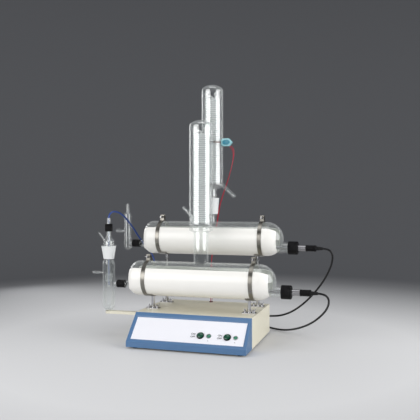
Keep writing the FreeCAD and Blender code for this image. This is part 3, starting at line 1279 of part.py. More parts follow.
def small_vessel():
    """Slim overflow vessel at the upper left neck, with its pipe, top tube and hose nozzle."""
    base = Vector(SMALL_VESSEL[0], SMALL_VESSEL[1], SMALL_VESSEL_BOTTOM)
    radius = SMALL_VESSEL_RADIUS
    shoulder = SMALL_VESSEL_SHOULDER - SMALL_VESSEL_BOTTOM
    top = SMALL_VESSEL_TOP - SMALL_VESSEL_BOTTOM
    outer = turned(
        base, Z_AXIS, (0, 0), quarter(0, radius, radius, -90, 0), (radius, shoulder),
        (SMALL_VESSEL_TUBE, shoulder + 9), (SMALL_VESSEL_TUBE, top), (0, top),
    )
    inner = radius - SMALL_VESSEL_WALL
    bore = SMALL_VESSEL_TUBE - SMALL_VESSEL_WALL
    inside = turned(
        base, Z_AXIS, (0, SMALL_VESSEL_WALL), (inner * 0.7, SMALL_VESSEL_WALL + 2), (inner, radius), (inner, shoulder),
        (bore, shoulder + 8), (bore, top + CUT_MARGIN), (0, top + CUT_MARGIN),
    )
    pipe_z = UPPER_AXIS[1] - LEFT_NECK_DROP
    pipe_root = Vector(SMALL_VESSEL[0] + inner - 1, SMALL_VESSEL[1], pipe_z)
    pipe_end = Vector(PIPE_END, SMALL_VESSEL[1], pipe_z)
    barb_root = Vector(SMALL_VESSEL[0] - inner + 1, SMALL_VESSEL[1], SMALL_BARB_Z)
    bore_radius = BARB_BORE * SMALL_BARB_SCALE
    barb_hole = rod(barb_root, barb_root - X_AXIS * SMALL_VESSEL_WALL * 2, bore_radius)
    body = joined(outer, rod(pipe_root, pipe_end, PIPE_RADIUS))
    body = body.cut([inside, rod(pipe_root, pipe_end + X_AXIS, PIPE_BORE), barb_hole])
    nozzle = hose_barb(
        Vector(SMALL_VESSEL[0] - radius + 0.6, SMALL_VESSEL[1], SMALL_BARB_Z), X_AXIS * -1, BARB_STEM_LENGTH,
        BARB_RIBS - 1, BARB_RIB_LENGTH, BARB_STEM_RADIUS * SMALL_BARB_SCALE, BARB_RIB_RADIUS * SMALL_BARB_SCALE,
        bore_radius,
    )
    return joined(body, nozzle)


def thermal_cutout():
    """Temperature cut-out beside the rear condenser, with a hollow face that sits on the strap."""
    y = UPPER_AXIS[0] + CUTOUT_DROP_Y
    left = CONDENSER_X + REAR_CONDENSER_RADIUS - 4
    right = CONDENSER_X + REAR_CONDENSER_RADIUS + CUTOUT_WIDTH - 4
    half = CUTOUT_HEIGHT / 2
    front = y - CUTOUT_DEPTH / 2
    outline = [
        Vector(left, front, CUTOUT_Z - half / 2), Vector(left + CUTOUT_NOSE, front, CUTOUT_Z - half),
        Vector(right - CUTOUT_NOSE, front, CUTOUT_Z - half), Vector(right, front, CUTOUT_Z - 3),
        Vector(right, front, CUTOUT_Z + 3), Vector(right - CUTOUT_NOSE, front, CUTOUT_Z + half),
        Vector(left + CUTOUT_NOSE, front, CUTOUT_Z + half), Vector(left, front, CUTOUT_Z + half / 2),
    ]
    body = Part.Face(Part.makePolygon(outline + outline[:1])).extrude(Vector(0, CUTOUT_DEPTH, 0))
    seat = REAR_CONDENSER_RADIUS + STRAP_THICKNESS + 2 * SEAT_GAP
    axis_low = Vector(CONDENSER_X, UPPER_AXIS[0], CUTOUT_Z - CUTOUT_HEIGHT)
    return body.cut(Part.makeCylinder(seat, 2 * CUTOUT_HEIGHT, axis_low))


def cutout_strap():
    """Thin band that ties the cut-out to the rear condenser."""
    low = Vector(CONDENSER_X, UPPER_AXIS[0], CUTOUT_Z - STRAP_WIDTH / 2)
    inner = REAR_CONDENSER_RADIUS + SEAT_GAP
    return tube(low, low + Z_AXIS * STRAP_WIDTH, inner + STRAP_THICKNESS, inner)


def both(maker, *extra):
    """The same piece on the lower and the upper boiler."""
    return Part.makeCompound([maker(LOWER_AXIS, *extra), maker(UPPER_AXIS, *extra)])


def group(maker, places):
    """Equal pieces at several places, as one group."""
    return Part.makeCompound([maker(*place) for place in places])


def build():
    """Every node's name and shape."""
    studs = stud_places()
    nodes = {
        "cabinet_shell": cabinet_shell(),
        "base_plate": base_plate(),
        "front_bezel": front_bezel(),
        "front_panel": front_panel(),
        "switch_bodies": group(switch_body, [(x,) for x in BUTTON_X]),
        "push_button_left": push_button(BUTTON_X[0]),
        "push_button_right": push_button(BUTTON_X[1]),
        "lamp_rims": group(lamp_rim, [(x,) for x in LAMP_X]),
        "lamp_lenses": group(lamp_lens, [(x,) for x in LAMP_X]),
        "control_board": control_board(),
        "rubber_feet": rubber_feet(),
        "mains_inlet": mains_inlet(),
        "cable_glands": group(cable_gland, [(z,) for z in GLAND_Z]),
        "cable_grommets": group(cable_grommet, GROMMETS),
        "vessel_bracket": vessel_bracket(),
        "front_posts": group(post, [(-POST_X, LOWER_AXIS), (POST_X, LOWER_AXIS)]),
        "rear_posts": group(post, [(-POST_X, UPPER_AXIS), (POST_X, UPPER_AXIS)]),
        "foot_studs": group(foot_stud, studs),
        "foot_wing_nuts": group(foot_wing_nut, studs),
        "lower_boiler": lower_boiler(),
        "lower_riser": lower_riser(),
        "upper_boiler": upper_boiler(),
        "lower_jacket": jacket(LOWER_AXIS),
        "upper_jacket": jacket(UPPER_AXIS),
        "lower_clamps": group(clamp, [(-1, LOWER_AXIS), (1, LOWER_AXIS)]),
        "upper_clamps": group(clamp, [(-1, UPPER_AXIS), (1, UPPER_AXIS)]),
        "clamp_screws": group(clamp_screw, [(s, a) for a in (LOWER_AXIS, UPPER_AXIS) for s in (-1, 1)]),
        "heater_seals": both(heater_seal),
        "heater_ferrules": both(heater_ferrule),
        "heater_plugs": both(heater_plug),
        "strain_reliefs": group(
            strain_relief, [(LOWER_AXIS, LOWER_CABLE[0][2]), (UPPER_AXIS, UPPER_CABLE[0][2])]
        ),
        "front_condenser": front_condenser(),
        "rear_condenser": rear_condenser(),
        "front_coil": condenser_coil(
            LOWER_AXIS[0], RISER_FLANGE_TOP, FRONT_CONDENSER_TOP, FRONT_ARM_RISE, FRONT_CONDENSER_RADIUS
        ),
        "rear_coil": condenser_coil(
            UPPER_AXIS[0], REAR_CONDENSER_BOTTOM, REAR_CONDENSER_TOP, REAR_ARM_RISE, REAR_CONDENSER_RADIUS
        ),
        "rear_joint_socket": rear_joint_socket(),
        "level_vessel": level_vessel(),
        "level_joint_socket": level_joint_socket(),
        "level_vessel_head": level_vessel_head(),
        "reed_tube": reed_tube(),
        "level_float": level_float(),
        "reed_cap": reed_cap(),
        "small_vessel": small_vessel(),
        "thermal_cutout": thermal_cutout(),
        "cutout_strap": cutout_strap(),
        "sensor_cable": cord_tube("sensor_cable", SENSOR_CABLE, SENSOR_CABLE_DIAMETER),
        "cutout_wire_1": cord_tube("cutout_wire_1", WIRE_1, WIRE_DIAMETER),
        "cutout_wire_2": cord_tube("cutout_wire_2", WIRE_2, WIRE_DIAMETER),
    }
    levels = {"lower": (LOWER_AXIS, LOWER_CABLE), "upper": (UPPER_AXIS, UPPER_CABLE)}
    for level, (axis_yz, cable) in levels.items():
        nodes[f"{level}_heater"] = heater(axis_yz)
        nodes[f"{level}_heater_cap"] = heater_cap(axis_yz)
        nodes[f"{level}_pipe_cap"] = pipe_cap(axis_yz)
        nodes[f"{level}_heater_cable"] = cord_tube(f"{level}_heater_cable", cable, HEATER_CABLE_DIAMETER)
        for side_name, side in (("left", -1), ("right", 1)):
            nodes[f"clamp_nut_{level}_{side_name}"] = clamp_nut(side, axis_yz)
    return nodes


os.makedirs("parts", exist_ok=True)
for name, shape in build().items():
    shape.exportStep(f"parts/{name}.step")
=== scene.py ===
"""Looks of the double glass still: materials, cords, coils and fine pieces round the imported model. Metres."""

import json
import math

import bmesh
import bpy
from mathutils import Matrix, Vector


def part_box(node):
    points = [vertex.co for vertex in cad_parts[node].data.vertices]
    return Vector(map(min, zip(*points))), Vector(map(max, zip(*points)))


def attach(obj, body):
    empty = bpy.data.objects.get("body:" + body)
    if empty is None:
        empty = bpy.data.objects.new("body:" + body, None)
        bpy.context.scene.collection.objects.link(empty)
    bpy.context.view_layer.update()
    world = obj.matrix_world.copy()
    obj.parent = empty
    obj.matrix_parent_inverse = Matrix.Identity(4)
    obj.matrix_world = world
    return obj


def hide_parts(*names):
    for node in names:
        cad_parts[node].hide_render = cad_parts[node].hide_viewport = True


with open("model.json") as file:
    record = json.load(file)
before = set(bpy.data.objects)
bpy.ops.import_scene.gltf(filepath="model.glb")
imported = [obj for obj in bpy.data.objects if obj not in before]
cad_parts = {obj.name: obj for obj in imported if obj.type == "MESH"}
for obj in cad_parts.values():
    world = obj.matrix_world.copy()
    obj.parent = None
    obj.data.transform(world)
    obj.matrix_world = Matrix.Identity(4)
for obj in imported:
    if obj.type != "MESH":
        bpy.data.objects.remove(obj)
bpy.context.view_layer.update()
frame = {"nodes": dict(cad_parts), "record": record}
NODES = frame["nodes"]

STAND = "stand"
LOWER_AXIS = (-0.0184, 0.2165)
UPPER_AXIS = (0.1194, 0.3545)
CONDENSER_X = 0.0035
SLOPE_FOOT = Vector((0, -0.1885, 0.0244))
SLOPE_UP = Vector((0, 0.0860, 0.0836)).normalized()
SLOPE_OUT = Vector((0, -0.0836, 0.0860)).normalized()

# The cords' routes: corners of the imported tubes, moved by up to 10 mm near their upper ends
UPPER_CABLE = (
    (0.408, 0.1194, 0.3236), (0.428, 0.1196, 0.3222), (0.4415, 0.121, 0.3065), (0.4415, 0.125, 0.282),
    (0.432, 0.133, 0.251), (0.409, 0.146, 0.207), (0.376, 0.161, 0.162), (0.334, 0.18, 0.117),
    (0.288, 0.202, 0.081), (0.243, 0.226, 0.06), (0.206, 0.243, 0.053), (0.173, 0.246, 0.0515),
    (0.152, 0.23, 0.052), (0.15, 0.2, 0.052),
)
LOWER_CABLE = (
    (0.408, -0.0184, 0.1855), (0.427, -0.0176, 0.184), (0.44, -0.0095, 0.1725), (0.4415, 0.009, 0.153),
    (0.433, 0.037, 0.128), (0.409, 0.074, 0.095), (0.368, 0.12, 0.057), (0.315, 0.172, 0.026),
    (0.262, 0.214, 0.008), (0.214, 0.24, 0.005), (0.174, 0.246, 0.013), (0.152, 0.23, 0.0235),
    (0.15, 0.2, 0.024),
)
SENSOR_CABLE = (
    (-0.35, -0.0184, 0.428), (-0.3495, -0.0175, 0.441), (-0.341, -0.003, 0.453), (-0.330, 0.024, 0.449),
    (-0.322, 0.054, 0.434), (-0.316, 0.086, 0.409), (-0.311, 0.117, 0.385), (-0.303, 0.148, 0.35),
    (-0.288, 0.179, 0.315), (-0.267, 0.201, 0.28), (-0.252, 0.192, 0.237), (-0.247, 0.156, 0.199),
    (-0.241, 0.108, 0.17), (-0.226, 0.062, 0.156), (-0.204, 0.033, 0.152), (-0.1903, 0.0203, 0.136),
    (-0.19, 0.02, 0.11),
)
WIRE_1 = (
    (0.076, 0.108, 0.691), (0.083, 0.1065, 0.688), (0.0905, 0.106, 0.674), (0.088, 0.108, 0.650),
    (0.080, 0.1145, 0.621), (0.070, 0.123, 0.592), (0.0565, 0.134, 0.557), (0.027, 0.158, 0.492),
    (0.014, 0.174, 0.456), (0.005, 0.188, 0.418), (-0.005, 0.196, 0.374), (-0.012, 0.1965, 0.326),
    (-0.019, 0.193, 0.277), (-0.023, 0.186, 0.23), (-0.02, 0.177, 0.186), (-0.017, 0.17, 0.146),
    (-0.018, 0.168, 0.11),
)
WIRE_2 = (
    (0.07, 0.113, 0.69), (0.077, 0.112, 0.685), (0.0855, 0.112, 0.670), (0.084, 0.115, 0.645),
    (0.0765, 0.121, 0.615), (0.066, 0.129, 0.586), (0.0515, 0.139, 0.552), (0.021, 0.164, 0.486),
    (0.009, 0.18, 0.448), (0, 0.193, 0.41), (-0.01, 0.201, 0.366), (-0.016, 0.202, 0.32),
    (-0.025, 0.198, 0.272), (-0.017, 0.19, 0.226), (-0.014, 0.181, 0.182), (-0.012, 0.172, 0.143),
    (-0.0125, 0.168, 0.11),
)


def srgb(red, green, blue):
    """A colour written as display values from 0 to 255, as the linear values that shaders take."""
    out = []
    for value in (red, green, blue):
        c = value / 255
        out.append(c / 12.92 if c <= 0.04045 else ((c + 0.055) / 1.055) ** 2.4)
    return (*out, 1.0)


class Shader:
    """A material's node tree with short ways to add and join nodes."""

    def __init__(self, name):
        self.material = bpy.data.materials.new(name)
        self.material.use_nodes = True
        self.tree = self.material.node_tree
        self.tree.nodes.clear()
        self.output = self.tree.nodes.new("ShaderNodeOutputMaterial")

    def node(self, kind, **inputs):
        made = self.tree.nodes.new(kind)
        for key, value in inputs.items():
            name = key.replace("_", " ")
            if name in made.inputs:
                self.give(made.inputs[name], value)
            else:
                setattr(made, key, value)
        return made

    def give(self, socket, value):
        if isinstance(value, bpy.types.NodeSocket):
            self.tree.links.new(value, socket)
        else:
            socket.default_value = value

    def math(self, operation, first, second=0.0, third=0.0):
        made = self.tree.nodes.new("ShaderNodeMath")
        made.operation = operation
        for socket, value in zip(made.inputs, (first, second, third)):
            self.give(socket, value)
        return made.outputs[0]

    def place(self):
        """Coordinates fixed to the object, in metres."""
        return self.node("ShaderNodeTexCoord").outputs["Object"]

    def stretched(self, scale):
        mapping = self.node("ShaderNodeMapping", Vector=self.place())
        mapping.inputs["Scale"].default_value = scale
        return mapping.outputs[0]

    def noise(self, scale, detail=2.0, rough=0.5, vector=None):
        made = self.node("ShaderNodeTexNoise", Scale=scale, Detail=detail, Roughness=rough)
        self.give(made.inputs["Vector"], vector or self.place())
        return made.outputs["Fac"]

    def ramp(self, value, low, high, to_low, to_high):
        made = self.tree.nodes.new("ShaderNodeMapRange")
        keys = ("Value", "From Min", "From Max", "To Min", "To Max")
        for key, item in zip(keys, (value, low, high, to_low, to_high)):
            self.give(made.inputs[key], item)
        return made.outputs[0]

    def blend(self, fac, first, second):
        made = self.tree.nodes.new("ShaderNodeMix")
        made.data_type = "RGBA"
        self.give(made.inputs[0], fac)
        self.give(made.inputs[6], first)
        self.give(made.inputs[7], second)
        return made.outputs[2]

    def bump(self, height, strength, distance):
        made = self.node("ShaderNodeBump", Strength=strength, Distance=distance, Height=height)
        return made.outputs[0]

    def mix(self, fac, first, second):
        made = self.tree.nodes.new("ShaderNodeMixShader")
        self.give(made.inputs[0], fac)
        self.tree.links.new(first, made.inputs[1])
        self.tree.links.new(second, made.inputs[2])
        return made.outputs[0]

    def done(self, surface):
        self.tree.links.new(surface, self.output.inputs["Surface"])
        return self.material


def solid(
    name, color, rough, metal=0.0, grain=0.0, grain_size=0.001, vary=0.04, gloss_vary=0.06, coat=0.0,
    shine=0.5,
):
    """A moulded, painted or metal surface: slight mottling, uneven gloss and a fine grain."""
    s = Shader(name)
    p = s.node("ShaderNodeBsdfPrincipled", Metallic=metal)
    p.inputs["Specular IOR Level"].default_value = shine
    darker = tuple(c * (1 - 2 * vary) for c in color[:3]) + (1.0,)
    s.give(p.inputs["Base Color"], s.blend(s.ramp(s.noise(18, 4), 0.3, 0.7, 0.0, 0.5), color, darker))
    s.give(p.inputs["Roughness"], s.ramp(s.noise(60, 3), 0.3, 0.7, rough - gloss_vary, rough + gloss_vary))
    if coat:
        p.inputs["Coat Weight"].default_value = coat
        p.inputs["Coat Roughness"].default_value = 0.08
    if grain:
        s.give(p.inputs["Normal"], s.bump(s.noise(1 / grain_size, 3, 0.6), grain, grain_size * 0.3))
    return s.done(p.outputs[0])


def brushed(name, color, rough, stretch, metal=1.0):
    """Metal with fine drawn lines along one axis."""
    s = Shader(name)
    p = s.node("ShaderNodeBsdfPrincipled", Metallic=metal)
    lines = s.noise(1.0, 4, 0.7, s.stretched(stretch))
    darker = tuple(c * 0.82 for c in color[:3]) + (1.0,)
    s.give(p.inputs["Base Color"], s.blend(s.ramp(lines, 0.3, 0.7, 0.0, 1.0), color, darker))
    s.give(p.inputs["Roughness"], s.ramp(lines, 0.3, 0.7, rough - 0.05, rough + 0.07))
    s.give(p.inputs["Normal"], s.bump(lines, 0.15, 0.0002))
    return s.done(p.outputs[0])


EDGE_MIRROR = 0.55
MIRROR_POWER = 6.0
# Diffuse white painted into the glass: a painted highlight that grows towards the rims, and an even share that
# is frosting on frosted glass and painted glints on the coil
RIM_HIGHLIGHT_POWER = 3.0
FROST_AND_HIGHLIGHT_WHITE = (0.9, 0.92, 0.92, 1.0)


def clear_glass(name, tint, frost_and_glint_share, rim, head_on=0.04, rough=0.02, ripple=0.0):
    """Thin blown glass: seen through head on and mirror-like at its rims. A diffuse white is painted on towards
    its rims as a highlight, and an even white share gives frosting and painted glints.
    """
    s = Shader(name)
    facing = s.node("ShaderNodeLayerWeight", Blend=0.5).outputs["Facing"]
    edge = s.math("MULTIPLY", s.math("POWER", facing, MIRROR_POWER), EDGE_MIRROR - head_on)
    mirror = s.math("ADD", edge, head_on)
    through = s.node("ShaderNodeBsdfTransparent", Color=tint)
    frost_and_highlight = s.node("ShaderNodeBsdfDiffuse", Color=FROST_AND_HIGHLIGHT_WHITE)
    shine = s.node("ShaderNodeBsdfGlossy", Color=(1.0, 1.0, 1.0, 1.0), Roughness=rough)
    if ripple:
        normal = s.bump(s.noise(22, 2, 0.4), ripple, 0.002)
        s.give(shine.inputs["Normal"], normal)
    # Share of diffuse white: the painted rim highlight, rising at grazing view, plus the even share for
    # frosting and painted glints
    white_share = s.math("ADD", s.math("MULTIPLY", s.math("POWER", facing, RIM_HIGHLIGHT_POWER), rim), frost_and_glint_share)
    body = s.mix(white_share, through.outputs[0], frost_and_highlight.outputs[0])
    return s.done(s.mix(mirror, body, shine.outputs[0]))


GLASS_TINT = (0.982, 0.99, 0.987, 1.0)
MATERIALS = {
    "cream_paint": solid(
        "cream_powder_coat", srgb(222, 217, 198), 0.42, grain=0.35, grain_size=0.0012, vary=0.02,
    ),
    "blue_plastic": solid("blue_moulding", srgb(76, 112, 152), 0.4, grain=0.3, grain_size=0.0007, vary=0.03),
    "white_panel": solid(
        "white_panel_film", srgb(231, 231, 237), 0.35, grain=0.15, grain_size=0.0005, vary=0.01,
    ),
    "black_plastic": solid(
        "black_moulding", srgb(15, 14, 16), 0.5, grain=0.3, grain_size=0.0008, vary=0.1, shine=0.15,
    ),
    "button_plastic": solid("button_plastic", srgb(8, 70, 50), 0.3, vary=0.05, coat=0.3),
    "green_lens": solid("green_lens", srgb(38, 116, 88), 0.2, vary=0.05, coat=0.8),
    "chrome": solid("polished_chrome", srgb(196, 196, 199), 0.1, metal=1.0, vary=0.03, gloss_vary=0.04),
    "steel": brushed("satin_steel", srgb(176, 176, 178), 0.26, (60, 900, 900)),
    "ferrule_metal": brushed("ferrule_metal", srgb(168, 167, 170), 0.3, (900, 60, 60)),
    "board": solid("circuit_board", srgb(24, 84, 48), 0.35, vary=0.1),
    "rubber": solid(
        "black_rubber", srgb(18, 18, 19), 0.6, grain=0.3, grain_size=0.0006, vary=0.1, shine=0.3,
    ),
    "silicone": solid("silicone", srgb(222, 216, 206), 0.5, vary=0.03),
    "white_jacket": solid(
        "white_jacket", srgb(240, 238, 233), 0.34, grain=0.12, grain_size=0.004, vary=0.015, coat=0.25,
    ),
    "float_plastic": clear_glass("clear_float", (0.93, 0.94, 0.94, 1.0), 0.12, 0.6, head_on=0.08, rough=0.08),
    "teal_plastic": solid(
        "teal_moulding", srgb(58, 140, 162), 0.24, grain=0.15, grain_size=0.0008, vary=0.05, coat=0.3,
    ),
    "blue_cable": solid("blue_sheath", srgb(32, 64, 134), 0.34, grain=0.25, grain_size=0.0006, vary=0.06),
    "red_wire": solid("red_sheath", srgb(176, 22, 52), 0.34, grain=0.2, grain_size=0.0004, vary=0.06),
    "black_cable": solid(
        "black_sheath", srgb(16, 16, 18), 0.42, grain=0.2, grain_size=0.0006, vary=0.1, shine=0.35,
    ),
    "glass": clear_glass("clear_glass", GLASS_TINT, 0.008, 0.3, head_on=0.06, ripple=0.12),
    # The coil's large even white share is painted glints: its clear glass turns are drawn whitish, and its rims
    # get the painted rim highlight
    "coil_glass": clear_glass("coil_glass", (0.9, 0.91, 0.91, 1.0), 0.74, 0.26, head_on=0.16, rough=0.06),
    "frosted_glass": clear_glass(
        "frosted_glass", (0.9, 0.88, 0.88, 1.0), 0.72, 0.25, head_on=0.05, rough=0.35,
    ),
}

# Looks of single pieces that differ from their slot's
CONDENSER_GLASS = clear_glass("condenser_glass", GLASS_TINT, 0.01, 0.3, head_on=0.1, ripple=0.12)
SWITCH_GLASS = clear_glass("switch_tube_glass", (0.93, 0.96, 0.96, 1.0), 0.26, 0.75, head_on=0.14)
BAND_METAL = solid("band_metal", srgb(142, 139, 132), 0.32, metal=1.0, vary=0.06, gloss_vary=0.06)
CLAMP_METAL = solid("clamp_metal", srgb(150, 147, 144), 0.26, metal=1.0, vary=0.05, gloss_vary=0.05)
DARK_STRAP = solid("oxidised_strap", srgb(96, 74, 66), 0.34, metal=0.7, vary=0.08)
PALE_TEAL = solid(
    "pale_teal_moulding", srgb(150, 206, 214), 0.2, grain=0.15, grain_size=0.0008, vary=0.05, coat=0.4,
)
OWN_MATERIALS = {
    "thermal_cutout": PALE_TEAL, "cutout_strap": DARK_STRAP, "reed_tube": SWITCH_GLASS,
    "lower_clamps": BAND_METAL, "upper_clamps": BAND_METAL,
}

for entry in frame["record"]["subparts"]:
    shown = NODES[entry["node"]]
    shown.data.materials.clear()
    shown.data.materials.append(OWN_MATERIALS.get(entry["node"], MATERIALS[entry["material_slot"]]))


def linked(name, data, slot_name, body=STAND, replaced=(), material=None):
    """Put a new piece into the scene with its material, body and the nodes that it stands for."""
    made = bpy.data.objects.new(name, data)
    bpy.context.scene.collection.objects.link(made)
    data.materials.append(material or MATERIALS[slot_name])
    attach(made, body)
    if replaced:
        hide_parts(*replaced)
    return made


def free_cord(name, route, diameter, slot_name):
    """A cord on the smooth line through its route's corners, tied into the object at both ends."""
    data = bpy.data.curves.new(name, "CURVE")
    data.dimensions = "3D"
    data.resolution_u = 12
    data.bevel_depth = diameter / 2
    data.bevel_resolution = 5
    spline = data.splines.new("NURBS")
    spline.points.add(len(route) - 1)
    for point, place in zip(spline.points, route):
        point.co = (*place, 1.0)
    spline.order_u = 3
    spline.use_endpoint_u = True
    made = linked(name, data, slot_name, replaced=[name.removesuffix("_line")])
    return made


HEATER_CABLE_DIAMETER = 0.007
SENSOR_CABLE_DIAMETER = 0.006
WIRE_DIAMETER = 0.0022
free_cord("upper_heater_cable_line", UPPER_CABLE, HEATER_CABLE_DIAMETER, "black_cable")
free_cord("lower_heater_cable_line", LOWER_CABLE, HEATER_CABLE_DIAMETER, "black_cable")
free_cord("sensor_cable_line", SENSOR_CABLE, SENSOR_CABLE_DIAMETER, "blue_cable")
free_cord("cutout_wire_1_line", WIRE_1, WIRE_DIAMETER, "red_wire")
free_cord("cutout_wire_2_line", WIRE_2, WIRE_DIAMETER, "red_wire")


def round_tube(name, points, radius, slot_name, replaced, sides=10):
    """A round tube swept along points, its section kept upright from point to point."""
    mesh = bpy.data.meshes.new(name)
    form = bmesh.new()
    rings = []
    across = (points[1] - points[0]).orthogonal().normalized()
    for index, place in enumerate(points):
        before = points[max(index - 1, 0)]
        after = points[min(index + 1, len(points) - 1)]
        run = (after - before).normalized()
        across = (across - run * across.dot(run)).normalized()
        up = run.cross(across)
        ring = []
        for side in range(sides):
            angle = 2 * math.pi * side / sides
            ring.append(form.verts.new(place + (across * math.cos(angle) + up * math.sin(angle)) * radius))
        rings.append(ring)
    for first, second in zip(rings, rings[1:]):
        for side in range(sides):
            after = (side + 1) % sides
            form.faces.new((first[side], first[after], second[after], second[side]))
    form.faces.new(list(reversed(rings[0])))
    form.faces.new(rings[-1])
    for face in form.faces:
        face.smooth = True
    form.to_mesh(mesh)
    form.free()
    return linked(name, mesh, slot_name, replaced=replaced)


def rounded(corners, radius, parts=5):
    """A line through corners, each one rounded by an arc of short steps."""
    line = [corners[0]]
    for before, corner, after in zip(corners, corners[1:], corners[2:]):
        into = (before - corner).normalized()
        out = (after - corner).normalized()
        reach = min(radius, (before - corner).length * 0.48, (after - corner).length * 0.48)
        for step in range(parts + 1):
            t = step / parts
            line.append(corner + into * reach * (1 - t) ** 2 + out * reach * t ** 2)
    line.append(corners[-1])
    return line


COIL_PITCH = 0.007
COIL_RADIUS = 0.026
COIL_TUBE_RADIUS = 0.003
COIL_LEG = 0.0335
COIL_FOOT = 0.024
COIL_HEAD_ROOM = 0.050
COIL_HEAD_RISE = 0.009
COIL_RETURN_DROP = 0.002
COIL_STEPS = 40
ENTRY_BEND = 0.005
RETURN_BEND = 0.006
FRONT_RADIUS = 0.041
FRONT_TOP = 0.772
REAR_RADIUS = 0.040
REAR_TOP = 0.918
GLASS_WALL = 0.0022
WALL_GAP = 0.0003


def coil(name, y, foot, top, arm_z, outer, node):
    """The cooling coil as round tube: up the jacket in even turns and back down its middle."""
    low = foot + COIL_FOOT
    under = low - COIL_RETURN_DROP
    turns = round((top - COIL_HEAD_ROOM - low) / COIL_PITCH)
    centre = Vector((CONDENSER_X, y, 0))
    wall = outer - GLASS_WALL - WALL_GAP
    entry = [
        Vector((-wall, 0, arm_z)), Vector((-COIL_LEG, 0, arm_z)), Vector((-COIL_LEG, 0, low)),
        Vector((-COIL_RADIUS, 0, low)),
    ]
    winding = []
    for step in range(1, turns * COIL_STEPS + 1):
        angle = math.pi + 2 * math.pi * step / COIL_STEPS
        rise = low + COIL_PITCH * step / COIL_STEPS
        winding.append(Vector((COIL_RADIUS * math.cos(angle), COIL_RADIUS * math.sin(angle), rise)))
    head = low + turns * COIL_PITCH + COIL_HEAD_RISE
    back = [
        winding[-1], Vector((-COIL_RADIUS / 2, -COIL_RADIUS / 3, head)), Vector((0, 0, head)),
        Vector((0, 0, under)), Vector((0, COIL_LEG, under)), Vector((0, COIL_LEG, arm_z)),
        Vector((0, wall, arm_z)),
    ]
    line = rounded(entry, ENTRY_BEND)[:-1] + winding[:-1] + rounded(back, RETURN_BEND)
    return round_tube(name, [centre + p for p in line], COIL_TUBE_RADIUS, "coil_glass", [node], sides=8)


coil("front_coil_tube", LOWER_AXIS[0], 0.393, FRONT_TOP, 0.442, FRONT_RADIUS, "front_coil")
coil("rear_coil_tube", UPPER_AXIS[0], 0.535, REAR_TOP, 0.578, REAR_RADIUS, "rear_coil")

DOME_RISE = 0.022
DOME_KNUCKLE = 0.014
JOIN_MARGIN = 0.0004
WELD_REACH = 0.00001


def dome_point(radius, share):
    """Place and outward way on a flattened dome, from its wall (share 0) to its middle (share 1)."""
    reach = radius - DOME_KNUCKLE
    lift = DOME_RISE - DOME_KNUCKLE
    drop = (reach ** 2 - lift ** 2) / (2 * lift)
    sphere = DOME_RISE + drop
    turn = math.atan2(drop, reach)
    knuckle_run = DOME_KNUCKLE * turn
    crown_run = sphere * (math.pi / 2 - turn)
    run = share * (knuckle_run + crown_run)
    if run < knuckle_run:
        angle = run / DOME_KNUCKLE
        way = (math.cos(angle), math.sin(angle))
        return (reach + DOME_KNUCKLE * way[0], DOME_KNUCKLE * way[1]), way
    angle = turn + (run - knuckle_run) / sphere
    way = (math.cos(angle), math.sin(angle))
    return (sphere * way[0], sphere * way[1] - drop), way


def flat_topped(node, name, centre_y, radius, top):
    """The condenser's glass with its half-round end drawn up into a flatter dome."""
    middle = Vector((CONDENSER_X, centre_y, top - radius))
    form = bmesh.new()
    form.from_mesh(NODES[node].data)
    bmesh.ops.transform(form, matrix=NODES[node].matrix_world, verts=form.verts)
    bmesh.ops.remove_doubles(form, verts=form.verts, dist=WELD_REACH)
    corners = []
    for vert in form.verts:
        away = vert.co - middle
        if away.z < -JOIN_MARGIN:
            corners.append(tuple(vert.co))
            continue
        out = math.hypot(away.x, away.y)
        (reach, rise), way = dome_point(radius, math.atan2(max(away.z, 0.0), out) / (math.pi / 2))
        depth = radius - math.hypot(out, away.z)
        reach = max(reach - way[0] * depth, 0.0)
        rise -= way[1] * depth
        across = Vector((away.x, away.y, 0)).normalized()
        corners.append(tuple(Vector((CONDENSER_X, centre_y, top - DOME_RISE + rise)) + across * reach))
    form.verts.index_update()
    faces = [[vert.index for vert in face.verts] for face in form.faces]
    form.free()
    mesh = bpy.data.meshes.new(name)
    mesh.from_pydata(corners, [], faces)
    mesh.shade_smooth()
    mesh.set_sharp_from_angle(angle=math.radians(30))
    return linked(name, mesh, "glass", replaced=[node], material=CONDENSER_GLASS)


flat_topped("front_condenser", "front_condenser_glass", LOWER_AXIS[0], FRONT_RADIUS, FRONT_TOP)
flat_topped("rear_condenser", "rear_condenser_glass", UPPER_AXIS[0], REAR_RADIUS, REAR_TOP)


# Turned and ribbed pieces
def lathe(form, base, axis, across, profile, sides, bulge=None):
    """Turn a closed profile of (radius, height) pairs about an axis; bulge changes the radius by angle."""
    sideways = axis.cross(across)
    rings = []
    for radius, height in profile:
        ring = []
        for side in range(sides):
            angle = 2 * math.pi * side / sides
            reach = radius - bulge(radius, height, angle) if bulge else radius
            way = across * math.cos(angle) + sideways * math.sin(angle)
            ring.append(form.verts.new(base + axis * height + way * reach))
        rings.append(ring)
    for first, second in zip(rings, rings[1:] + rings[:1]):
        for side in range(sides):
            after = (side + 1) % sides
            form.faces.new((first[side], first[after], second[after], second[side]))


def finished(form, name, crease=38):
    """A mesh from the form, smooth but for its creases."""
    bmesh.ops.recalc_face_normals(form, faces=form.faces)
    for face in form.faces:
        face.smooth = True
    mesh = bpy.data.meshes.new(name)
    form.to_mesh(mesh)
    form.free()
    mesh.set_sharp_from_angle(angle=math.radians(crease))
    return mesh


WING_STATIONS = (
    (0.0032, 0.0032, 0.0024, 0.00115), (0.0050, 0.0042, 0.0023, 0.00105), (0.0068, 0.0058, 0.0020, 0.00095),
    (0.0083, 0.0078, 0.0017, 0.0009), (0.0092, 0.0099, 0.0017, 0.0009), (0.0093, 0.0114, 0.0016, 0.0009),
    (0.0092, 0.0126, 0.0012, 0.0008), (0.0091, 0.0132, 0.0006, 0.0005), (0.0091, 0.0134, 0.0001, 0.0001),
)


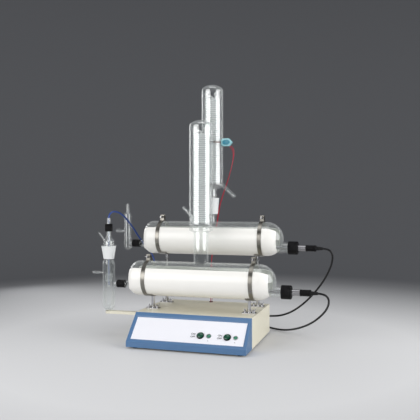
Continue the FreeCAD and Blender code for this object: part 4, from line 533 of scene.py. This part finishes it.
def wing_nut(form, base, axis, wings, bore):
    """Hub with a rounded shoulder and two upswept wings whose section thins towards round lobes."""
    hub = [
        (bore, 0), (0.0046, 0), (0.005, 0.0004), (0.005, 0.0044), (0.0048, 0.0056), (0.0043, 0.0065),
        (0.0034, 0.007), (bore, 0.007),
    ]
    lathe(form, base, axis, wings, hub, 24)
    sides = 12
    for way in (1, -1):
        along = wings * way
        across = axis.cross(along)
        middle = [base + along * reach + axis * rise for reach, rise, _, _ in WING_STATIONS]
        rings = []
        for index, (_, _, width, thickness) in enumerate(WING_STATIONS):
            run = (middle[min(index + 1, len(middle) - 1)] - middle[max(index - 1, 0)]).normalized()
            breadth = run.cross(across).normalized()
            ring = []
            for side in range(sides):
                angle = 2 * math.pi * side / sides
                spread = breadth * (width * math.cos(angle)) + across * (thickness * math.sin(angle))
                ring.append(form.verts.new(middle[index] + spread))
            rings.append(ring)
        for first, second in zip(rings, rings[1:]):
            for side in range(sides):
                after = (side + 1) % sides
                form.faces.new((first[side], first[after], second[after], second[side]))
        form.faces.new(rings[0])
        form.faces.new(rings[-1])


NUT_BORE = 0.0025
POST_X = 0.176
STUD_OFFSET = 0.015
NUT_FOOT_Z = 0.111
feet = bmesh.new()
for side in (-1, 1):
    for outward in (-1, 1):
        for axis_y in (LOWER_AXIS[0], UPPER_AXIS[0]):
            place = Vector((side * (POST_X + outward * STUD_OFFSET), axis_y, NUT_FOOT_Z))
            wings = Vector((side * outward * 0.5, 0.86, 0)).normalized()
            wing_nut(feet, place, Vector((0, 0, 1)), wings, NUT_BORE)
linked("foot_nuts_detailed", finished(feet, "foot_nuts_detailed"), "chrome", replaced=["foot_wing_nuts"])

BAND_X = 0.192
NUT_DROP_Y = 0.00755
SCREW_RISE_Z = 0.0763
for level, (axis_y, axis_z) in (("lower", LOWER_AXIS), ("upper", UPPER_AXIS)):
    for hand, side in (("left", -1), ("right", 1)):
        form = bmesh.new()
        place = Vector((side * BAND_X, axis_y - NUT_DROP_Y, axis_z + SCREW_RISE_Z))
        wing_nut(form, place, Vector((0, -1, 0)), Vector((1, 0, 0)), NUT_BORE)
        name = f"band_nut_{level}_{hand}"
        linked(
            name, finished(form, name), "chrome", f"nut_{level}_{hand}", [f"clamp_nut_{level}_{hand}"],
            CLAMP_METAL,
        )


def ribbed_cap(node, body, mouth, axis, length, radius, bore, aperture, ribs):
    """Moulded screw cap: open mouth, a band of fine grip ribs, a rounded shoulder and a hole in its end."""
    wall = 0.0022
    depth = 0.0007
    low = 0.0026
    high = length - 0.0046
    profile = [
        (bore, 0.0), (radius - 0.0011, 0.0), (radius - 0.0003, 0.0004), (radius, 0.0011),
        (radius, low - 0.0005), (radius, low), (radius, high), (radius, high + 0.0006),
        (radius - 0.0003, length - 0.0026), (radius - 0.0012, length - 0.0012),
        (radius - 0.0026, length - 0.0003), (radius - 0.004, length), (aperture + 0.0006, length),
        (aperture, length - 0.0006), (aperture, length - wall), (bore, length - wall),
    ]

    def grip(at_radius, at_height, angle):
        inside = at_radius > radius - 0.0001 and low - 0.0001 < at_height < high + 0.0001
        return depth * (0.5 - 0.5 * math.cos(angle * ribs)) ** 0.6 if inside else 0.0

    form = bmesh.new()
    across = Vector((0, 1, 0))
    lathe(form, mouth, axis, across, profile, ribs * 8, grip)
    return linked(f"{node}_ribbed", finished(form, node, 50), "black_plastic", body, [node])


# Outer radius, bore, hole in the end and count of ribs
HEATER_CAP_FORM = (0.0235, 0.0198, 0.0109, 28)
PIPE_CAP_FORM = (0.0142, 0.0117, 0.0083, 20)
REED_CAP_FORM = (0.014, 0.0115, 0.006, 20)
HEATER_DROP = 0.031
PIPE_DROP = 0.0255
for level, (axis_y, axis_z) in (("lower", LOWER_AXIS), ("upper", UPPER_AXIS)):
    low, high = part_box(f"{level}_heater_cap")
    mouth = Vector((low.x, axis_y, axis_z - HEATER_DROP))
    ribbed_cap(
        f"{level}_heater_cap", f"{level}_heater_cap_body", mouth, Vector((1, 0, 0)), high.x - low.x,
        *HEATER_CAP_FORM,
    )
    low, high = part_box(f"{level}_pipe_cap")
    mouth = Vector((high.x, axis_y, axis_z - PIPE_DROP))
    ribbed_cap(
        f"{level}_pipe_cap", f"{level}_pipe_cap_body", mouth, Vector((-1, 0, 0)), high.x - low.x,
        *PIPE_CAP_FORM,
    )
LEVEL_AXIS = (-0.35, -0.0184)
low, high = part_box("reed_cap")
ribbed_cap(
    "reed_cap", "reed_cap_body", Vector((*LEVEL_AXIS, low.z)), Vector((0, 0, 1)), high.z - low.z,
    *REED_CAP_FORM,
)

# Blue core of the switch tube, seen through its glass
CORE_RADIUS = 0.0028
CORE_HEIGHTS_MM = range(184, 425, 8)
core = [Vector((*LEVEL_AXIS, z / 1000)) for z in CORE_HEIGHTS_MM]
round_tube("switch_core", core, CORE_RADIUS, "blue_cable", (), sides=14)


# Raised face plates of the thermal cut-out, with rounded edges
def face_plate(name, corners, y, proud, edge, slot_name):
    """A flat plate on a face of the cut-out, its rim stepping in towards its face."""
    middle = sum((Vector(c) for c in corners), Vector((0, 0))) / len(corners)
    form = bmesh.new()
    rings = []
    for inset, rise in ((0.0, 0.0), (0.0, proud * 0.5), (edge * 0.3, proud * 0.85), (edge, proud)):
        ring = []
        for corner in corners:
            away = Vector(corner) - middle
            place = middle + away * (1 - inset / away.length)
            ring.append(form.verts.new((place.x, y - rise, place.y)))
        rings.append(ring)
    for first, second in zip(rings, rings[1:]):
        for side in range(len(corners)):
            after = (side + 1) % len(corners)
            form.faces.new((first[side], first[after], second[after], second[side]))
    form.faces.new(rings[0])
    form.faces.new(rings[-1])
    return linked(name, finished(form, name), slot_name)


CUTOUT_PLATE = (
    (0.0465, 0.7015), (0.0532, 0.6956), (0.0668, 0.6956), (0.0745, 0.7035), (0.0745, 0.7065),
    (0.0668, 0.7144), (0.0532, 0.7144), (0.0465, 0.7085),
)
CUTOUT_FRONT_Y = 0.1044
CUTOUT_BACK_Y = 0.1224
PLATE_PROUD = 0.0012
PLATE_EDGE = 0.0012
face_plate("cutout_front_plate", CUTOUT_PLATE, CUTOUT_FRONT_Y, PLATE_PROUD, PLATE_EDGE, "teal_plastic")
face_plate("cutout_back_plate", CUTOUT_PLATE, CUTOUT_BACK_Y, -PLATE_PROUD, PLATE_EDGE, "teal_plastic")


# Printed switch marks on the panel
def on_slope(x, up, out):
    return Vector((x, 0, 0)) + SLOPE_FOOT + SLOPE_UP * up + SLOPE_OUT * out


PANEL_OUT = -0.003
INK_HEIGHT = 0.00006
DASH_DROP = 0.0165
SLOPE_TURN = Matrix((Vector((1, 0, 0)), SLOPE_UP, SLOPE_OUT)).transposed().to_4x4()


def printed(name, words, x, up, size):
    data = bpy.data.curves.new(name, "FONT")
    data.body = words
    data.size = size
    data.align_x = "CENTER"
    data.align_y = "CENTER"
    data.extrude = INK_HEIGHT
    data.offset = 0.00022
    made = linked(name, data, "black_plastic")
    made.matrix_world = Matrix.Translation(on_slope(x, up, PANEL_OUT)) @ SLOPE_TURN
    return made


BUTTON_X = (0.045, 0.1355)
LAMP_X = (0.0735, 0.1635)
CONTROL_UP = 0.0425
MARK_REACH = 0.0255
MARK_RISE = 0.0052
MARK_SIZE = 0.0088
DASH_SIZE = 0.012
for hand, button_x, lamp_x in zip(("left", "right"), BUTTON_X, LAMP_X):
    printed(f"mark_on_{hand}", "ON", button_x - MARK_REACH, CONTROL_UP + MARK_RISE, MARK_SIZE)
    printed(f"mark_off_{hand}", "OFF", button_x - MARK_REACH, CONTROL_UP - MARK_RISE, MARK_SIZE)
    printed(f"mark_lamp_{hand}", "-", lamp_x, CONTROL_UP - DASH_DROP, DASH_SIZE)


# Floor, backdrop, light and camera
def stage_material(name, floor_color, wall_color):
    """Pale floor round the object that darkens outwards into a grey wall."""
    s = Shader(name)
    place = s.node("ShaderNodeNewGeometry").outputs["Position"]
    parts = s.node("ShaderNodeSeparateXYZ", Vector=place)
    reach = s.math("SQRT", s.math("ADD", s.math("POWER", s.math("ABSOLUTE", parts.outputs["X"]), 2.0),
                                  s.math("POWER", s.math("ABSOLUTE", parts.outputs["Y"]), 2.0)))
    p = s.node("ShaderNodeBsdfDiffuse")
    outward = s.ramp(reach, FLOOR_PALE, FLOOR_DARK, 0.0, 1.0)
    s.give(p.inputs["Color"], s.blend(outward, floor_color, wall_color))
    return s.done(p.outputs[0])


FLOOR_PALE = 0.75
FLOOR_DARK = 1.9
BOUNCE_RADIUS = 0.9
FLOOR_RADIUS = 1.7
SWEEP_RADIUS = 1.2
WALL_TOP = 4.6


def ring_sheet(name, profile, material, seen_by_diffuse):
    """A stage surface turned about the origin from a profile of (radius, height) pairs."""
    form = bmesh.new()
    count = 64
    rings = []
    for radius, height in profile:
        ring = []
        for side in range(count):
            angle = 2 * math.pi * side / count
            ring.append(form.verts.new((radius * math.cos(angle), radius * math.sin(angle), height)))
        rings.append(ring)
    for first, second in zip(rings, rings[1:]):
        for side in range(count):
            after = (side + 1) % count
            form.faces.new((first[side], second[side], second[after], first[after]))
    for face in form.faces:
        face.smooth = True
    mesh = bpy.data.meshes.new(name)
    form.to_mesh(mesh)
    form.free()
    mesh.materials.append(material)
    made = bpy.data.objects.new(name, mesh)
    bpy.context.scene.collection.objects.link(made)
    made.visible_diffuse = seen_by_diffuse


def backdrop():
    """A pale floor, whose near part throws light back up, and its sweep into a grey wall all round."""
    material = stage_material("studio_sweep", srgb(208, 208, 209), srgb(100, 101, 104))
    ring_sheet("floor", [(0.001, 0.0), (0.3, 0.0), (0.6, 0.0), (BOUNCE_RADIUS, 0.0)], material, True)
    profile = [(BOUNCE_RADIUS, 0.0), (1.2, 0.0), (FLOOR_RADIUS, 0.0)]
    for step in range(1, 13):
        angle = math.pi / 2 * step / 12
        rise = SWEEP_RADIUS - SWEEP_RADIUS * math.cos(angle)
        profile.append((FLOOR_RADIUS + SWEEP_RADIUS * math.sin(angle), rise))
    profile.append((FLOOR_RADIUS + SWEEP_RADIUS, WALL_TOP))
    ring_sheet("backdrop", profile, material, False)


def lamp(name, place, aim, width, height, power, mirrored=True):
    data = bpy.data.lights.new(name, "AREA")
    data.shape = "RECTANGLE"
    data.size = width
    data.size_y = height
    data.energy = power
    made = bpy.data.objects.new(name, data)
    bpy.context.scene.collection.objects.link(made)
    made.location = place
    made.rotation_euler = (Vector(aim) - Vector(place)).to_track_quat("-Z", "Y").to_euler()
    made.visible_camera = False
    made.visible_glossy = mirrored
    return made


backdrop()
lamp("left_softbox", (-1.03, -1.71, 0.85), (0, 0, 0.72), 1.9, 1.4, 28)
lamp("right_softbox", (1.99, -0.15, 0.85), (0, 0, 0.72), 1.9, 1.4, 27)
lamp("top_softbox", (0.1, -0.2, 2.5), (0, 0, 0.2), 1.4, 1.4, 10)
lamp("rim_left", (-1.3, 0.9, 0.9), (0, 0, 0.6), 0.25, 1.4, 6)
lamp("front_fill", (0.7, -2.7, 0.9), (0, 0, 0.4), 2.0, 1.6, 14, mirrored=False)
lamp("right_fill", (2.6, -0.6, 0.9), (0, 0, 0.3), 1.6, 1.4, 16, mirrored=False)

world = bpy.data.worlds.new("studio")
world.use_nodes = True
world.node_tree.nodes["Background"].inputs["Color"].default_value = (0.9, 0.92, 0.95, 1.0)
world.node_tree.nodes["Background"].inputs["Strength"].default_value = 0.36
bpy.context.scene.world = world

PICTURE_WIDTH = 420
CAMERA_LENS = 52.214
CAMERA_PLACE = (0.6467, -2.0397, 0.491)
CAMERA_DIP_DEGREES = 0.853
CAMERA_TURN_DEGREES = 16.90
camera_data = bpy.data.cameras.new("camera")
camera_data.sensor_width = 36.0
camera_data.lens = CAMERA_LENS
camera_data.shift_x = 1 / PICTURE_WIDTH
camera = bpy.data.objects.new("camera", camera_data)
bpy.context.scene.collection.objects.link(camera)
camera.location = CAMERA_PLACE
camera.rotation_euler = (math.radians(90 - CAMERA_DIP_DEGREES), 0, math.radians(CAMERA_TURN_DEGREES))
bpy.context.scene.camera = camera
bpy.context.scene.view_settings.view_transform = "Standard"
bpy.context.scene.cycles.transparent_max_bounces = 48
